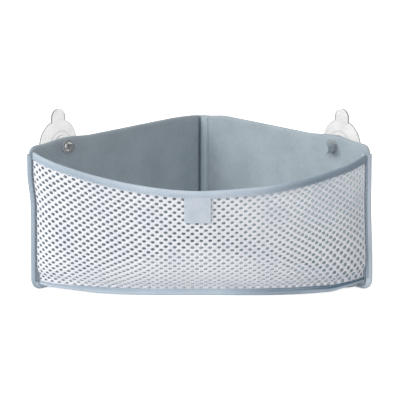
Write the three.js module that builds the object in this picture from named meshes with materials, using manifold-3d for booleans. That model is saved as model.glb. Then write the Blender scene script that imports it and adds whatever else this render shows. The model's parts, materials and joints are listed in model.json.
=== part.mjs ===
// Corner bath organizer: two padded fabric wings that meet in a sewn corner, a bulging open-mesh front and base
// between them, taped edges, and a clear suction cup through an eyelet near the outer end of each wing.
// Millimetres, +Z up, +X to the right of someone who faces the mesh front, the corner at the back (+Y).
import * as THREE from 'three';
import { mergeVertices } from 'three/addons/utils/BufferGeometryUtils.js';
import Module from 'manifold-3d';

const wasm = await Module();
wasm.setup();

// Padded wings: lining, foam and cover, measured from the corner's inner line
const WING_LENGTH = 229;
const WING_HEIGHT = 139;
const LINING_THICKNESS = 0.8;
const FOAM_THICKNESS = 3;
const COVER_THICKNESS = 0.8;
const LAYER_GAP = 0.2;
const TOP_CORNER_RADIUS = 12;
const BOTTOM_CORNER_RADIUS = 10;
const CORNER_DIP = 2.5;
const CORNER_DIP_RUN = 42;
const SEAM_CLEARANCE = 0.4;

// Edge tape, folded in a U over a raw edge
const TAPE_THICKNESS = 0.9;
const TAPE_GAP = 0.3;
const WING_TAPE_WIDTH = 8.5;
const WING_TAPE_FROM_CORNER = 8;
const MOUTH_TAPE_WIDTH = 6.8;
const BASE_TAPE_WIDTH = 6.6;

// Corner seam: a bound seam allowance inside, a covering tape round the outside
const SEAM_BINDING_WIDTH = 9;
const SEAM_BINDING_THICKNESS = 1.2;
const SEAM_BINDING_FROM_CORNER = 2;
const SEAM_BELOW_RIM = 1;
const BACK_TAPE_WIDTH = 14;

// Mesh front: how far it bulges past the wings' ends, its sagging mouth, and its lower edge that rises at the ends
const MESH_THICKNESS = 1;
const FRONT_BULGE = 43.4;
const BASE_BULGE = 26.5;
const BULGE_FULL_HEIGHT = 42;
const CROWN_SHARE = 0.72;
const SHOULDER_POWER = 16;
const MOUTH_BELOW_RIM = 4.4;
const MOUTH_DIP = 28.5;
const MOUTH_POWER = 1.8;
const BASE_RISE = 4.5;
const BASE_RISE_POWER = 3;
const MESH_FROM_WING_END = 3;
const MESH_TUCK = 3;
const MESH_CLEARANCE = 0.4;
const SELVEDGE = 9.5;

// Mesh gaps, drawn at twice the spacing of the cloth on the front and three times on the base
const GAP_PITCH = 17.2;
const GAP_ROW_PITCH = 7.6;
const GAP_WIDTH = 7.8;
const GAP_HEIGHT = 5.2;
const BASE_GAP_PITCH = 25.8;
const BASE_GAP_ROW_PITCH = 11.4;
const BASE_GAP_WIDTH = 11.7;
const BASE_GAP_HEIGHT = 7.8;
const BASE_HEM = 9;
const BASE_HEIGHT = 4;

// Label sewn under the mouth tape
const LABEL_WIDTH = 25;
const LABEL_HEIGHT = 23.5;
const LABEL_OFFSET = -1.6;
const LABEL_THICKNESS = 1;
const LABEL_CORNER_RADIUS = 2;

// Suction cups, each turning in an eyelet set in a rounded ear of the wing
const CUP_FROM_WING_END = 48.5;
const CUP_BELOW_RIM = 6.5;
const EAR_RADIUS = 9;
const EYELET_FLANGE_RADIUS = 7;
const EYELET_FLANGE_THICKNESS = 1;
const EYELET_WALL = 1;
const CUP_NECK_RADIUS = 4.1;
const CUP_HEAD_RADIUS = 6.6;
const CUP_HEAD_LENGTH = 3.4;
const CUP_HUB_RADIUS = 10;
const CUP_HUB_LENGTH = 2.2;
const CUP_RADIUS = 24.5;
const CUP_DEPTH = 7.2;
const CUP_LIP_WIDTH = 2;
const CUP_LIP_THICKNESS = 1.2;
const CUP_WALL = 2.4;
const TAB_WIDTH = 20;
const TAB_REACH = 12.5;
const TAB_THICKNESS = 1.6;
const RUNNING_CLEARANCE = 0.3;

// Facets
const ROUND_STEPS = 24;
const CORNER_STEPS = 5;
const MOUTH_STATIONS = 40;
const ARC_SAMPLES = 400;

const WING_THICKNESS = LINING_THICKNESS + FOAM_THICKNESS + COVER_THICKNESS + 2 * LAYER_GAP;
const TAPE_REACH = TAPE_THICKNESS + TAPE_GAP;
const WING_TURN = Math.PI / 4;
const COS_TURN = Math.cos(WING_TURN);
const SIN_TURN = Math.sin(WING_TURN);
const CUP_ALONG = WING_LENGTH - CUP_FROM_WING_END;
const CUP_HEIGHT = WING_HEIGHT - CUP_BELOW_RIM;
const EYELET_BORE_RADIUS = CUP_NECK_RADIUS + RUNNING_CLEARANCE;
const EYELET_BARREL_RADIUS = EYELET_BORE_RADIUS + EYELET_WALL;
const LEFT = -1;
const RIGHT = 1;

const fabric = (color) => new THREE.MeshStandardMaterial({ color, roughness: 0.9, metalness: 0 });
const liningCloth = fabric('#a4aeb4');
const coverCloth = fabric('#9fa9b0');
const foam = fabric('#d9d6cc');
const tapeCloth = fabric('#a9b6c2');
const whiteMesh = fabric('#f3f3f5');
const eyeletPlastic = new THREE.MeshStandardMaterial({ color: '#aeb6bb', roughness: 0.5, metalness: 0 });
const clearPvc = new THREE.MeshStandardMaterial({ color: '#e3e4e0', roughness: 0.2, metalness: 0 });
const labelFilm = new THREE.MeshStandardMaterial({ color: '#d3dae4', roughness: 0.4, metalness: 0 });

function named(name, geometry, material) {
  const mesh = new THREE.Mesh(geometry, material);
  mesh.name = name;
  return mesh;
}

function toSolid(geometry) {
  const bare = new THREE.BufferGeometry();
  bare.setAttribute('position', geometry.getAttribute('position'));
  bare.setIndex(geometry.index);
  const merged = mergeVertices(bare);
  const vertProperties = new Float32Array(merged.getAttribute('position').array);
  const triVerts = new Uint32Array(merged.index.array);
  return new wasm.Manifold(new wasm.Mesh({ numProp: 3, vertProperties, triVerts }));
}

function fromSolid(solid) {
  const mesh = solid.getMesh();
  const geometry = new THREE.BufferGeometry();
  geometry.setAttribute('position', new THREE.BufferAttribute(mesh.vertProperties, 3));
  geometry.setIndex(new THREE.BufferAttribute(mesh.triVerts, 1));
  return geometry;
}

function fromTriangles(points, triangles) {
  const geometry = new THREE.BufferGeometry().setFromPoints(points);
  geometry.setIndex(triangles.flat());
  return geometry;
}

// A flat outline, drawn as distance along the wing and height, becomes a slab between two depths of that wing.
// Depth runs outwards from the inner face, and the left wing is the mirror image of the right one.
function wingSlab(outline, side, depthStart, depthEnd, holes = []) {
  const mirror = (path) => {
    const points = path.getPoints(CORNER_STEPS).map((p) => new THREE.Vector2(side * p.x, p.y));
    return side === LEFT ? points.reverse() : points;
  };
  const shape = new THREE.Shape(mirror(outline));
  shape.holes = holes.map((hole) => new THREE.Path(mirror(hole)));
  const slab = new THREE.ExtrudeGeometry(shape, { depth: depthEnd - depthStart, bevelEnabled: false });
  return slab.rotateX(Math.PI / 2).translate(0, depthEnd, 0);
}

// The wing's outline inside its edge tape: rounded front corners, an ear round the cup, a dip at the corner
function panelOutline() {
  const front = WING_LENGTH - TAPE_REACH;
  const low = TAPE_REACH;
  const lowRadius = BOTTOM_CORNER_RADIUS - TAPE_REACH;
  const earSwing = Math.acos(CUP_BELOW_RIM / EAR_RADIUS);
  const outline = new THREE.Shape();
  outline.moveTo(SEAM_CLEARANCE, low);
  outline.lineTo(front - lowRadius, low);
  outline.absarc(front - lowRadius, low + lowRadius, lowRadius, -Math.PI / 2, 0, false);
  outline.lineTo(front, WING_HEIGHT - TOP_CORNER_RADIUS);
  outline.absarc(front - TOP_CORNER_RADIUS, WING_HEIGHT - TOP_CORNER_RADIUS, TOP_CORNER_RADIUS, 0, Math.PI / 2, false);
  outline.absarc(CUP_ALONG, CUP_HEIGHT, EAR_RADIUS, Math.PI / 2 - earSwing, Math.PI / 2 + earSwing, false);
  outline.lineTo(CORNER_DIP_RUN, WING_HEIGHT);
  const rimBend = CORNER_DIP_RUN / 2;
  outline.quadraticCurveTo(rimBend, WING_HEIGHT, SEAM_CLEARANCE, WING_HEIGHT - CORNER_DIP);
  outline.closePath();
  return outline;
}

function roundHole(along, height, radius) {
  const steps = ROUND_STEPS;
  const points = [];
  for (let step = 0; step < steps; step += 1) {
    const angle = (2 * Math.PI * step) / steps;
    points.push(new THREE.Vector2(along + radius * Math.cos(angle), height + radius * Math.sin(angle)));
  }
  return new THREE.Path(points);
}

function wingLayer(side, depthStart, thickness) {
  const hole = roundHole(CUP_ALONG, CUP_HEIGHT, EYELET_BARREL_RADIUS + TAPE_GAP);
  return wingSlab(panelOutline(), side, depthStart, depthStart + thickness, [hole]);
}

// The tape that wraps a wing's front and bottom edges in one run: a band cut by the slot that holds the panel
function edgeTape(side) {
  const top = WING_HEIGHT - TOP_CORNER_RADIUS;
  const innerAlong = WING_LENGTH - WING_TAPE_WIDTH;
  const band = new THREE.Shape();
  band.moveTo(WING_TAPE_FROM_CORNER, 0);
  band.lineTo(WING_LENGTH - BOTTOM_CORNER_RADIUS, 0);
  band.absarc(WING_LENGTH - BOTTOM_CORNER_RADIUS, BOTTOM_CORNER_RADIUS, BOTTOM_CORNER_RADIUS, -Math.PI / 2, 0, false);
  band.lineTo(WING_LENGTH, top);
  band.lineTo(innerAlong, top);
  band.lineTo(innerAlong, WING_TAPE_WIDTH);
  band.lineTo(WING_TAPE_FROM_CORNER, WING_TAPE_WIDTH);
  band.closePath();
  const slot = new THREE.Shape();
  const slotFront = WING_LENGTH - TAPE_THICKNESS;
  const slotRadius = BOTTOM_CORNER_RADIUS - TAPE_THICKNESS;
  slot.moveTo(0, TAPE_THICKNESS);
  slot.lineTo(slotFront - slotRadius, TAPE_THICKNESS);
  slot.absarc(slotFront - slotRadius, BOTTOM_CORNER_RADIUS, slotRadius, -Math.PI / 2, 0, false);
  slot.lineTo(slotFront, WING_HEIGHT);
  slot.lineTo(0, WING_HEIGHT);
  slot.closePath();
  const solid = toSolid(wingSlab(band, side, -TAPE_REACH, WING_THICKNESS + TAPE_REACH));
  return fromSolid(solid.subtract(toSolid(wingSlab(slot, side, -TAPE_GAP, WING_THICKNESS + TAPE_GAP))));
}

// Turned shapes run along the depth of the wing, at the cup's place on it
function turned(profile, side) {
  const points = profile.map(([radius, depth]) => new THREE.Vector2(radius, depth));
  return new THREE.LatheGeometry(points, ROUND_STEPS).translate(side * CUP_ALONG, 0, CUP_HEIGHT);
}

function eyelet(side) {
  const inner = -TAPE_GAP;
  const outer = WING_THICKNESS + TAPE_GAP;
  const start = [EYELET_BORE_RADIUS, inner - EYELET_FLANGE_THICKNESS];
  return turned([
    start,
    [EYELET_FLANGE_RADIUS, inner - EYELET_FLANGE_THICKNESS],
    [EYELET_FLANGE_RADIUS, inner],
    [EYELET_BARREL_RADIUS, inner],
    [EYELET_BARREL_RADIUS, outer],
    [EYELET_FLANGE_RADIUS, outer],
    [EYELET_FLANGE_RADIUS, outer + EYELET_FLANGE_THICKNESS],
    [EYELET_BORE_RADIUS, outer + EYELET_FLANGE_THICKNESS],
    start,
  ], side);
}

// One moulding: a mushroom head inside the wing, a neck through the eyelet, a hub, a dish and a pull tab
function suctionCup(side) {
  const headSeat = -TAPE_GAP - EYELET_FLANGE_THICKNESS - RUNNING_CLEARANCE;
  const headEnd = headSeat - CUP_HEAD_LENGTH;
  const hubSeat = WING_THICKNESS + TAPE_GAP + EYELET_FLANGE_THICKNESS + RUNNING_CLEARANCE;
  const hubEnd = hubSeat + CUP_HUB_LENGTH;
  const lip = hubSeat + CUP_DEPTH;
  const headChamfer = CUP_HEAD_LENGTH / 2;
  const dish = turned([
    [0, headEnd],
    [CUP_HEAD_RADIUS - headChamfer, headEnd],
    [CUP_HEAD_RADIUS, headEnd + headChamfer],
    [CUP_HEAD_RADIUS, headSeat],
    [CUP_NECK_RADIUS, headSeat],
    [CUP_NECK_RADIUS, hubSeat],
    [CUP_HUB_RADIUS, hubSeat],
    [CUP_HUB_RADIUS, hubEnd],
    [(CUP_HUB_RADIUS + CUP_RADIUS) / 2, hubEnd + CUP_LIP_THICKNESS],
    [CUP_RADIUS, lip - CUP_LIP_THICKNESS],
    [CUP_RADIUS, lip],
    [CUP_RADIUS - CUP_LIP_WIDTH, lip],
    [(CUP_HUB_RADIUS + CUP_RADIUS) / 2, hubEnd + CUP_LIP_THICKNESS + CUP_WALL],
    [CUP_HUB_RADIUS, hubEnd + CUP_WALL],
    [0, hubEnd + CUP_WALL],
  ], side);
  const tabRadius = TAB_WIDTH / 2;
  const tabRoot = CUP_HEIGHT + CUP_RADIUS - CUP_LIP_WIDTH - TAB_THICKNESS;
  const tabCentre = CUP_HEIGHT + CUP_RADIUS + TAB_REACH - tabRadius;
  const tab = new THREE.Shape();
  tab.moveTo(CUP_ALONG - tabRadius, tabRoot);
  tab.lineTo(CUP_ALONG + tabRadius, tabRoot);
  tab.absarc(CUP_ALONG, tabCentre, tabRadius, 0, Math.PI, false);
  tab.closePath();
  const tabEnd = lip - CUP_LIP_THICKNESS / 2;
  return fromSolid(toSolid(dish).add(toSolid(wingSlab(tab, side, tabEnd - TAB_THICKNESS, tabEnd))));
}

// The bound seam allowance lies on the right wing's inner face beside the corner
function seamBinding() {
  const strip = new THREE.Shape();
  const start = SEAM_BINDING_FROM_CORNER;
  const end = start + SEAM_BINDING_WIDTH;
  const low = WING_TAPE_WIDTH + TAPE_GAP;
  const high = WING_HEIGHT - CORNER_DIP - SEAM_BELOW_RIM;
  strip.moveTo(start, low);
  strip.lineTo(end, low);
  strip.lineTo(end, high);
  strip.lineTo(start, high);
  strip.closePath();
  return wingSlab(strip, RIGHT, -TAPE_GAP - SEAM_BINDING_THICKNESS, -TAPE_GAP);
}

// The outside tape runs along one wing's cover, bends round the corner's line and runs along the other
function backTape() {
  const inner = WING_THICKNESS + TAPE_GAP;
  const outer = WING_THICKNESS + TAPE_REACH;
  const armEnd = (side, depth) => new THREE.Vector2(
    side * (BACK_TAPE_WIDTH * COS_TURN + depth * SIN_TURN),
    depth * COS_TURN - BACK_TAPE_WIDTH * SIN_TURN,
  );
  const section = new THREE.Shape();
  section.moveTo(armEnd(RIGHT, inner).x, armEnd(RIGHT, inner).y);
  section.lineTo(armEnd(RIGHT, outer).x, armEnd(RIGHT, outer).y);
  section.absarc(0, 0, outer, Math.PI / 2 - WING_TURN, Math.PI / 2 + WING_TURN, false);
  section.lineTo(armEnd(LEFT, outer).x, armEnd(LEFT, outer).y);
  section.lineTo(armEnd(LEFT, inner).x, armEnd(LEFT, inner).y);
  section.absarc(0, 0, inner, Math.PI / 2 + WING_TURN, Math.PI / 2 - WING_TURN, true);
  section.closePath();
  const low = WING_TAPE_WIDTH + TAPE_GAP;
  const high = WING_HEIGHT - CORNER_DIP - SEAM_BELOW_RIM;
  const options = { depth: high - low, bevelEnabled: false, curveSegments: CORNER_STEPS };
  return new THREE.ExtrudeGeometry(section, options).translate(0, 0, low);
}

// The mesh front as a surface over two shares: across from -1 (left end) to 1, and height above the floor
const MESH_LOW = TAPE_REACH;
const MESH_DEPTH = -TAPE_REACH - MESH_CLEARANCE;

function mouthHeight(across) {
  const low = WING_HEIGHT - MOUTH_BELOW_RIM - MOUTH_DIP - TAPE_REACH;
  return low + MOUTH_DIP * Math.abs(across) ** MOUTH_POWER;
}

function footHeight(across) {
  return MESH_LOW + BASE_RISE * Math.abs(across) ** BASE_RISE_POWER;
}

function easeOut(height, start, end) {
  const left = 1 - THREE.MathUtils.clamp((height - start) / (end - start), 0, 1);
  return 1 - left * left;
}

function frontPoint(across, height) {
  const level = height - footHeight(across) + MESH_LOW;
  const tuck = MESH_TUCK * (1 - easeOut(level, SELVEDGE, SELVEDGE + BOTTOM_CORNER_RADIUS));
  const along = WING_LENGTH - MESH_FROM_WING_END - tuck;
  const endX = along * COS_TURN + MESH_DEPTH * SIN_TURN;
  const endY = MESH_DEPTH * COS_TURN - along * SIN_TURN;
  const bulge = BASE_BULGE + (FRONT_BULGE - BASE_BULGE) * easeOut(level, SELVEDGE, BULGE_FULL_HEIGHT);
  const crown = CROWN_SHARE * (1 - across ** 2);
  const shoulder = (1 - CROWN_SHARE) * (1 - across ** SHOULDER_POWER);
  return new THREE.Vector3(across * endX, endY - bulge * (crown + shoulder), height);
}

// Lengths along the cloth, measured at the height where it bulges most
const arcLengths = [0];
for (let step = 1; step <= ARC_SAMPLES; step += 1) {
  const before = frontPoint((2 * (step - 1)) / ARC_SAMPLES - 1, BULGE_FULL_HEIGHT);
  const after = frontPoint((2 * step) / ARC_SAMPLES - 1, BULGE_FULL_HEIGHT);
  arcLengths.push(arcLengths[step - 1] + before.distanceTo(after));
}
const CLOTH_LENGTH = arcLengths[ARC_SAMPLES];
const CLOTH_HEIGHT = mouthHeight(0) - MESH_LOW;
const SELVEDGE_RISE = SELVEDGE - MESH_LOW;

function acrossAt(length) {
  const next = Math.max(1, arcLengths.findIndex((value) => value >= Math.min(length, CLOTH_LENGTH)));
  const share = (length - arcLengths[next - 1]) / (arcLengths[next] - arcLengths[next - 1]);
  return (2 * (next - 1 + share)) / ARC_SAMPLES - 1;
}

// A place on the cloth: length from the left end, and rise from the bottom edge as measured at the middle
function clothPoint(length, rise) {
  const across = acrossAt(length);
  const share = Math.max(0, rise - SELVEDGE_RISE) / (CLOTH_HEIGHT - SELVEDGE_RISE);
  const foot = footHeight(across);
  const height = foot + Math.min(rise, SELVEDGE_RISE) + share * (mouthHeight(across) - foot - SELVEDGE_RISE);
  return frontPoint(across, height);
}

function clothTangent(length, rise) {
  const reach = 0.5;
  const before = clothPoint(Math.max(0, length - reach), rise);
  return clothPoint(Math.min(CLOTH_LENGTH, length + reach), rise).sub(before).normalize();
}

function clothNormal(length, rise) {
  const reach = 0.5;
  const low = clothPoint(length, Math.max(0, rise - reach));
  const up = clothPoint(length, Math.min(CLOTH_HEIGHT, rise + reach)).sub(low);
  return clothTangent(length, rise).cross(up).normalize();
}

// Joins two rows of points, each running left to right, with triangles that face the viewer
function zip(lower, upper, triangles, lengthOf) {
  let low = 0;
  let high = 0;
  while (low < lower.length - 1 || high < upper.length - 1) {
    const lowNext = low < lower.length - 1 ? lengthOf(lower[low + 1]) : Infinity;
    const highNext = high < upper.length - 1 ? lengthOf(upper[high + 1]) : Infinity;
    if (lowNext <= highNext) {
      triangles.push([lower[low], lower[low + 1], upper[high]]);
      low += 1;
    } else {
      triangles.push([lower[low], upper[high + 1], upper[high]]);
      high += 1;
    }
  }
}

// Gives a sheet of triangles its thickness and closes it along every free edge
function thicken(points, normals, triangles, thickness) {
  const count = points.length;
  const faces = points.map((point, i) => point.clone().addScaledVector(normals[i], thickness / 2));
  const backs = points.map((point, i) => point.clone().addScaledVector(normals[i], -thickness / 2));
  const edges = new Set(triangles.flatMap(([a, b, c]) => [`${a}>${b}`, `${b}>${c}`, `${c}>${a}`]));
  const solid = triangles.flatMap(([a, b, c]) => [[a, b, c], [count + a, count + c, count + b]]);
  for (const edge of edges) {
    const [a, b] = edge.split('>').map(Number);
    if (!edges.has(`${b}>${a}`)) {
      solid.push([b, a, count + a], [b, count + a, count + b]);
    }
  }
  return fromTriangles([...faces, ...backs], solid);
}

// Staggered rows of six-sided gaps between a plain selvedge at the mouth and one at the base
function frontMesh() {
  const places = [];
  const keys = new Map();
  const place = (length, rise) => {
    const key = `${length.toFixed(3)},${rise.toFixed(3)}`;
    if (!keys.has(key)) {
      keys.set(key, places.length);
      places.push([length, rise]);
    }
    return keys.get(key);
  };
  const rows = Math.floor((CLOTH_HEIGHT - 2 * SELVEDGE) / GAP_ROW_PITCH);
  const firstRow = (CLOTH_HEIGHT - (rows - 1) * GAP_ROW_PITCH) / 2;
  const columns = Math.floor((CLOTH_LENGTH - GAP_WIDTH) / GAP_PITCH);
  const halfWidth = GAP_WIDTH / 2;
  const chain = (row, edge) => {
    const rise = firstRow + row * GAP_ROW_PITCH;
    const gaps = columns - (row % 2);
    const start = (CLOTH_LENGTH - (gaps - 1) * GAP_PITCH) / 2;
    const points = [place(0, rise)];
    for (let gap = 0; gap < gaps; gap += 1) {
      const centre = start + gap * GAP_PITCH;
      points.push(place(centre - halfWidth, rise));
      points.push(place(centre - halfWidth / 2, rise + (edge * GAP_HEIGHT) / 2));
      points.push(place(centre + halfWidth / 2, rise + (edge * GAP_HEIGHT) / 2));
      points.push(place(centre + halfWidth, rise));
    }
    points.push(place(CLOTH_LENGTH, rise));
    return points;
  };
  const border = (rise) => {
    const points = [];
    for (let station = 0; station <= MOUTH_STATIONS; station += 1) {
      points.push(place((CLOTH_LENGTH * station) / MOUTH_STATIONS, rise));
    }
    return points;
  };
  const triangles = [];
  const lengthOf = (index) => places[index][0];
  zip(border(0), border(SELVEDGE_RISE), triangles, lengthOf);
  zip(border(SELVEDGE_RISE), chain(0, -1), triangles, lengthOf);
  for (let row = 1; row < rows; row += 1) {
    zip(chain(row - 1, 1), chain(row, -1), triangles, lengthOf);
  }
  zip(chain(rows - 1, 1), border(CLOTH_HEIGHT - SELVEDGE_RISE), triangles, lengthOf);
  zip(border(CLOTH_HEIGHT - SELVEDGE_RISE), border(CLOTH_HEIGHT), triangles, lengthOf);
  const points = places.map(([length, rise]) => clothPoint(length, rise));
  const normals = places.map(([length, rise]) => clothNormal(length, rise));
  return thicken(points, normals, triangles, MESH_THICKNESS);
}

// A closed solid through a run of like sections, with flat ends
function loft(sections, flatSection) {
  const size = sections[0].length;
  const triangles = [];
  for (let ring = 0; ring < sections.length - 1; ring += 1) {
    for (let i = 0; i < size; i += 1) {
      const a = ring * size + i;
      const b = ring * size + ((i + 1) % size);
      triangles.push([a, b, b + size], [a, b + size, a + size]);
    }
  }
  const lastRing = (sections.length - 1) * size;
  for (const [a, b, c] of THREE.ShapeUtils.triangulateShape(flatSection, [])) {
    triangles.push([a, c, b], [lastRing + a, lastRing + b, lastRing + c]);
  }
  return fromTriangles(sections.flat(), triangles);
}

// The U of a folded tape over the mesh's edge: out of the cloth, and down from its edge
function foldedTapeSection(width) {
  const outer = MESH_THICKNESS / 2 + TAPE_REACH;
  const inner = MESH_THICKNESS / 2 + TAPE_GAP;
  return [
    [-outer, width - TAPE_REACH],
    [-outer, -TAPE_REACH],
    [outer, -TAPE_REACH],
    [outer, width - TAPE_REACH],
    [inner, width - TAPE_REACH],
    [inner, -TAPE_GAP],
    [-inner, -TAPE_GAP],
    [-inner, width - TAPE_REACH],
  ].map(([out, down]) => new THREE.Vector2(out, down));
}

function clothStations() {
  const lengths = [];
  for (let station = 0; station <= MOUTH_STATIONS; station += 1) {
    lengths.push((CLOTH_LENGTH * station) / MOUTH_STATIONS);
  }
  lengths[0] += TAPE_REACH;
  lengths[MOUTH_STATIONS] -= TAPE_REACH;
  return lengths;
}

function mouthTape() {
  const flat = foldedTapeSection(MOUTH_TAPE_WIDTH);
  const sections = clothStations().map((length) => {
    const edge = clothPoint(length, CLOTH_HEIGHT);
    const out = clothNormal(length, CLOTH_HEIGHT);
    const down = clothTangent(length, CLOTH_HEIGHT).cross(out).negate();
    down.multiplyScalar(-Math.sign(down.z));
    return flat.map(({ x, y }) => edge.clone().addScaledVector(out, x).addScaledVector(down, y));
  });
  return loft(sections, flat);
}

function baseTape() {
  const flat = foldedTapeSection(BASE_TAPE_WIDTH);
  const up = new THREE.Vector3(0, 0, 1);
  const sections = clothStations().reverse().map((length) => {
    const edge = clothPoint(length, 0);
    const out = clothNormal(length, 0);
    return flat.map(({ x, y }) => edge.clone().addScaledVector(out, x).addScaledVector(up, y));
  });
  return loft(sections, flat);
}

// The base: a flat sheet of the same mesh between the wings' tapes and the front's
function baseMesh() {
  const sideDepth = MESH_DEPTH;
  const frontInset = MESH_THICKNESS / 2 + TAPE_REACH + MESH_CLEARANCE;
  const outline = [new THREE.Vector2(0, sideDepth / COS_TURN)];
  for (const length of clothStations().slice(1, -1).reverse()) {
    const point = clothPoint(length, 0).addScaledVector(clothNormal(length, 0), -frontInset);
    outline.push(new THREE.Vector2(point.x, point.y));
  }
  const sheet = new THREE.Shape(outline);
  const frontLine = clothPoint(CLOTH_LENGTH / 2, 0).y;
  const roomAt = (x, y) => {
    const fromWing = (sideDepth - (y * COS_TURN + Math.abs(x) * SIN_TURN));
    const across = x / frontPoint(1, 0).x;
    return Math.min(fromWing, y - frontPoint(across, 0).y);
  };
  const rows = Math.floor(-frontLine / BASE_GAP_ROW_PITCH);
  const columns = Math.floor(WING_LENGTH / BASE_GAP_PITCH);
  for (let row = 0; row < rows; row += 1) {
    for (let column = -columns; column <= columns; column += 1) {
      const x = (column + (row % 2) / 2) * BASE_GAP_PITCH;
      const y = frontLine + (row + 1) * BASE_GAP_ROW_PITCH;
      if (roomAt(x, y) > BASE_HEM + BASE_GAP_WIDTH / 2) {
        sheet.holes.push(sixSidedGap(x, y, BASE_GAP_WIDTH / 2, BASE_GAP_HEIGHT / 2));
      }
    }
  }
  const options = { depth: MESH_THICKNESS, bevelEnabled: false };
  return new THREE.ExtrudeGeometry(sheet, options).translate(0, 0, BASE_HEIGHT);
}

function sixSidedGap(x, y, halfWidth, halfHeight) {
  return new THREE.Path([
    new THREE.Vector2(x - halfWidth, y),
    new THREE.Vector2(x - halfWidth / 2, y - halfHeight),
    new THREE.Vector2(x + halfWidth / 2, y - halfHeight),
    new THREE.Vector2(x + halfWidth, y),
    new THREE.Vector2(x + halfWidth / 2, y + halfHeight),
    new THREE.Vector2(x - halfWidth / 2, y + halfHeight),
  ]);
}

// A blank tab of film that hangs from the mouth tape's lower edge, just clear of the mesh
function label() {
  const half = LABEL_WIDTH / 2;
  const radius = LABEL_CORNER_RADIUS;
  const outline = new THREE.Shape();
  outline.moveTo(-half, 0);
  outline.lineTo(-half, radius - LABEL_HEIGHT);
  outline.absarc(radius - half, radius - LABEL_HEIGHT, radius, Math.PI, 1.5 * Math.PI, false);
  outline.absarc(half - radius, radius - LABEL_HEIGHT, radius, -Math.PI / 2, 0, false);
  outline.lineTo(half, 0);
  outline.closePath();
  const top = mouthHeight(0) + TAPE_REACH - MOUTH_TAPE_WIDTH - TAPE_GAP;
  const meshFace = clothPoint(CLOTH_LENGTH / 2, CLOTH_HEIGHT).y - MESH_THICKNESS / 2;
  const options = { depth: LABEL_THICKNESS, bevelEnabled: false, curveSegments: CORNER_STEPS };
  return new THREE.ExtrudeGeometry(outline, options)
    .rotateX(Math.PI / 2)
    .translate(LABEL_OFFSET, meshFace - MESH_CLEARANCE, top);
}

function wing(name, side) {
  const group = new THREE.Group();
  const foamDepth = LINING_THICKNESS + LAYER_GAP;
  const coverDepth = foamDepth + FOAM_THICKNESS + LAYER_GAP;
  group.add(named(`${name}_back_lining`, wingLayer(side, 0, LINING_THICKNESS), liningCloth));
  group.add(named(`${name}_back_foam`, wingLayer(side, foamDepth, FOAM_THICKNESS), foam));
  group.add(named(`${name}_back_cover`, wingLayer(side, coverDepth, COVER_THICKNESS), coverCloth));
  group.add(named(`${name}_edge_binding`, edgeTape(side), tapeCloth));
  group.add(named(`${name}_cup_eyelet`, eyelet(side), eyeletPlastic));
  group.add(named(`${name}_suction_cup`, suctionCup(side), clearPvc));
  group.rotation.z = -side * WING_TURN;
  return group;
}

const leftWing = wing('left', LEFT);
const rightWing = wing('right', RIGHT);
rightWing.add(named('corner_seam_binding', seamBinding(), tapeCloth));

const organizer = new THREE.Group();
organizer.add(leftWing, rightWing);
organizer.add(named('corner_back_tape', backTape(), tapeCloth));
organizer.add(named('front_mesh', frontMesh(), whiteMesh));
organizer.add(named('mouth_binding', mouthTape(), tapeCloth));
organizer.add(named('base_mesh', baseMesh(), whiteMesh));
organizer.add(named('base_front_binding', baseTape(), tapeCloth));
organizer.add(named('label', label(), labelFilm));

// The origin is on the floor, under the middle of the whole
const box = new THREE.Box3().setFromObject(organizer, true);
organizer.position.y = -(box.min.y + box.max.y) / 2;

export default organizer;
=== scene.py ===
import bisect
import json
import math

import bmesh
import bpy
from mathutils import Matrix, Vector
from mathutils.geometry import delaunay_2d_cdt
from mathutils.noise import noise


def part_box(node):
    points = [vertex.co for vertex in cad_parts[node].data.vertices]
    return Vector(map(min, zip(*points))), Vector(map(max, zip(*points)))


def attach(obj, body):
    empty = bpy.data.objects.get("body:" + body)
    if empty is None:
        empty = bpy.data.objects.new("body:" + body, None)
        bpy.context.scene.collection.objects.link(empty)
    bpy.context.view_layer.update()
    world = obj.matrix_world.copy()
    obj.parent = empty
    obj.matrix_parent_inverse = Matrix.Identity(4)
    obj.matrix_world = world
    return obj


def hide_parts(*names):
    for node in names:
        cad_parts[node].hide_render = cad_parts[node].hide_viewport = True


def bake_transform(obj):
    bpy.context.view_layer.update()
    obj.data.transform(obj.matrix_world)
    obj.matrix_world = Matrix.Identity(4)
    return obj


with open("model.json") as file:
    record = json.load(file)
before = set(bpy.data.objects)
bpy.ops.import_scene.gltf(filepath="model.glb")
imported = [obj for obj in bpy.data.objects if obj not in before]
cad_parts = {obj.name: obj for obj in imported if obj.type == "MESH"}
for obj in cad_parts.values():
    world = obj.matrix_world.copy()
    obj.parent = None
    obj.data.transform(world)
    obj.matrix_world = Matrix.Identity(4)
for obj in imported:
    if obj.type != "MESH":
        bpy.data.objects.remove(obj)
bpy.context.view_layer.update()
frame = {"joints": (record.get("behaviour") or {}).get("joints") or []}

# Sizes in millimetres, mostly the CAD model's; meshes are scaled to metres where they are made
MM = 0.001
COS_TURN = math.sqrt(0.5)
FOLD = next(joint for joint in frame["joints"] if joint["name"] == "corner_fold")
CORNER_Y = FOLD["pos_m"][1] / MM
LEFT, RIGHT = -1, 1
SIDES = {"left": LEFT, "right": RIGHT}
UPWARD = Vector((0, 0, 1))
ARC_STEPS = 12
QUARTER_TURN = [math.pi / 2 * step / ARC_STEPS for step in range(ARC_STEPS + 1)]

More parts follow.
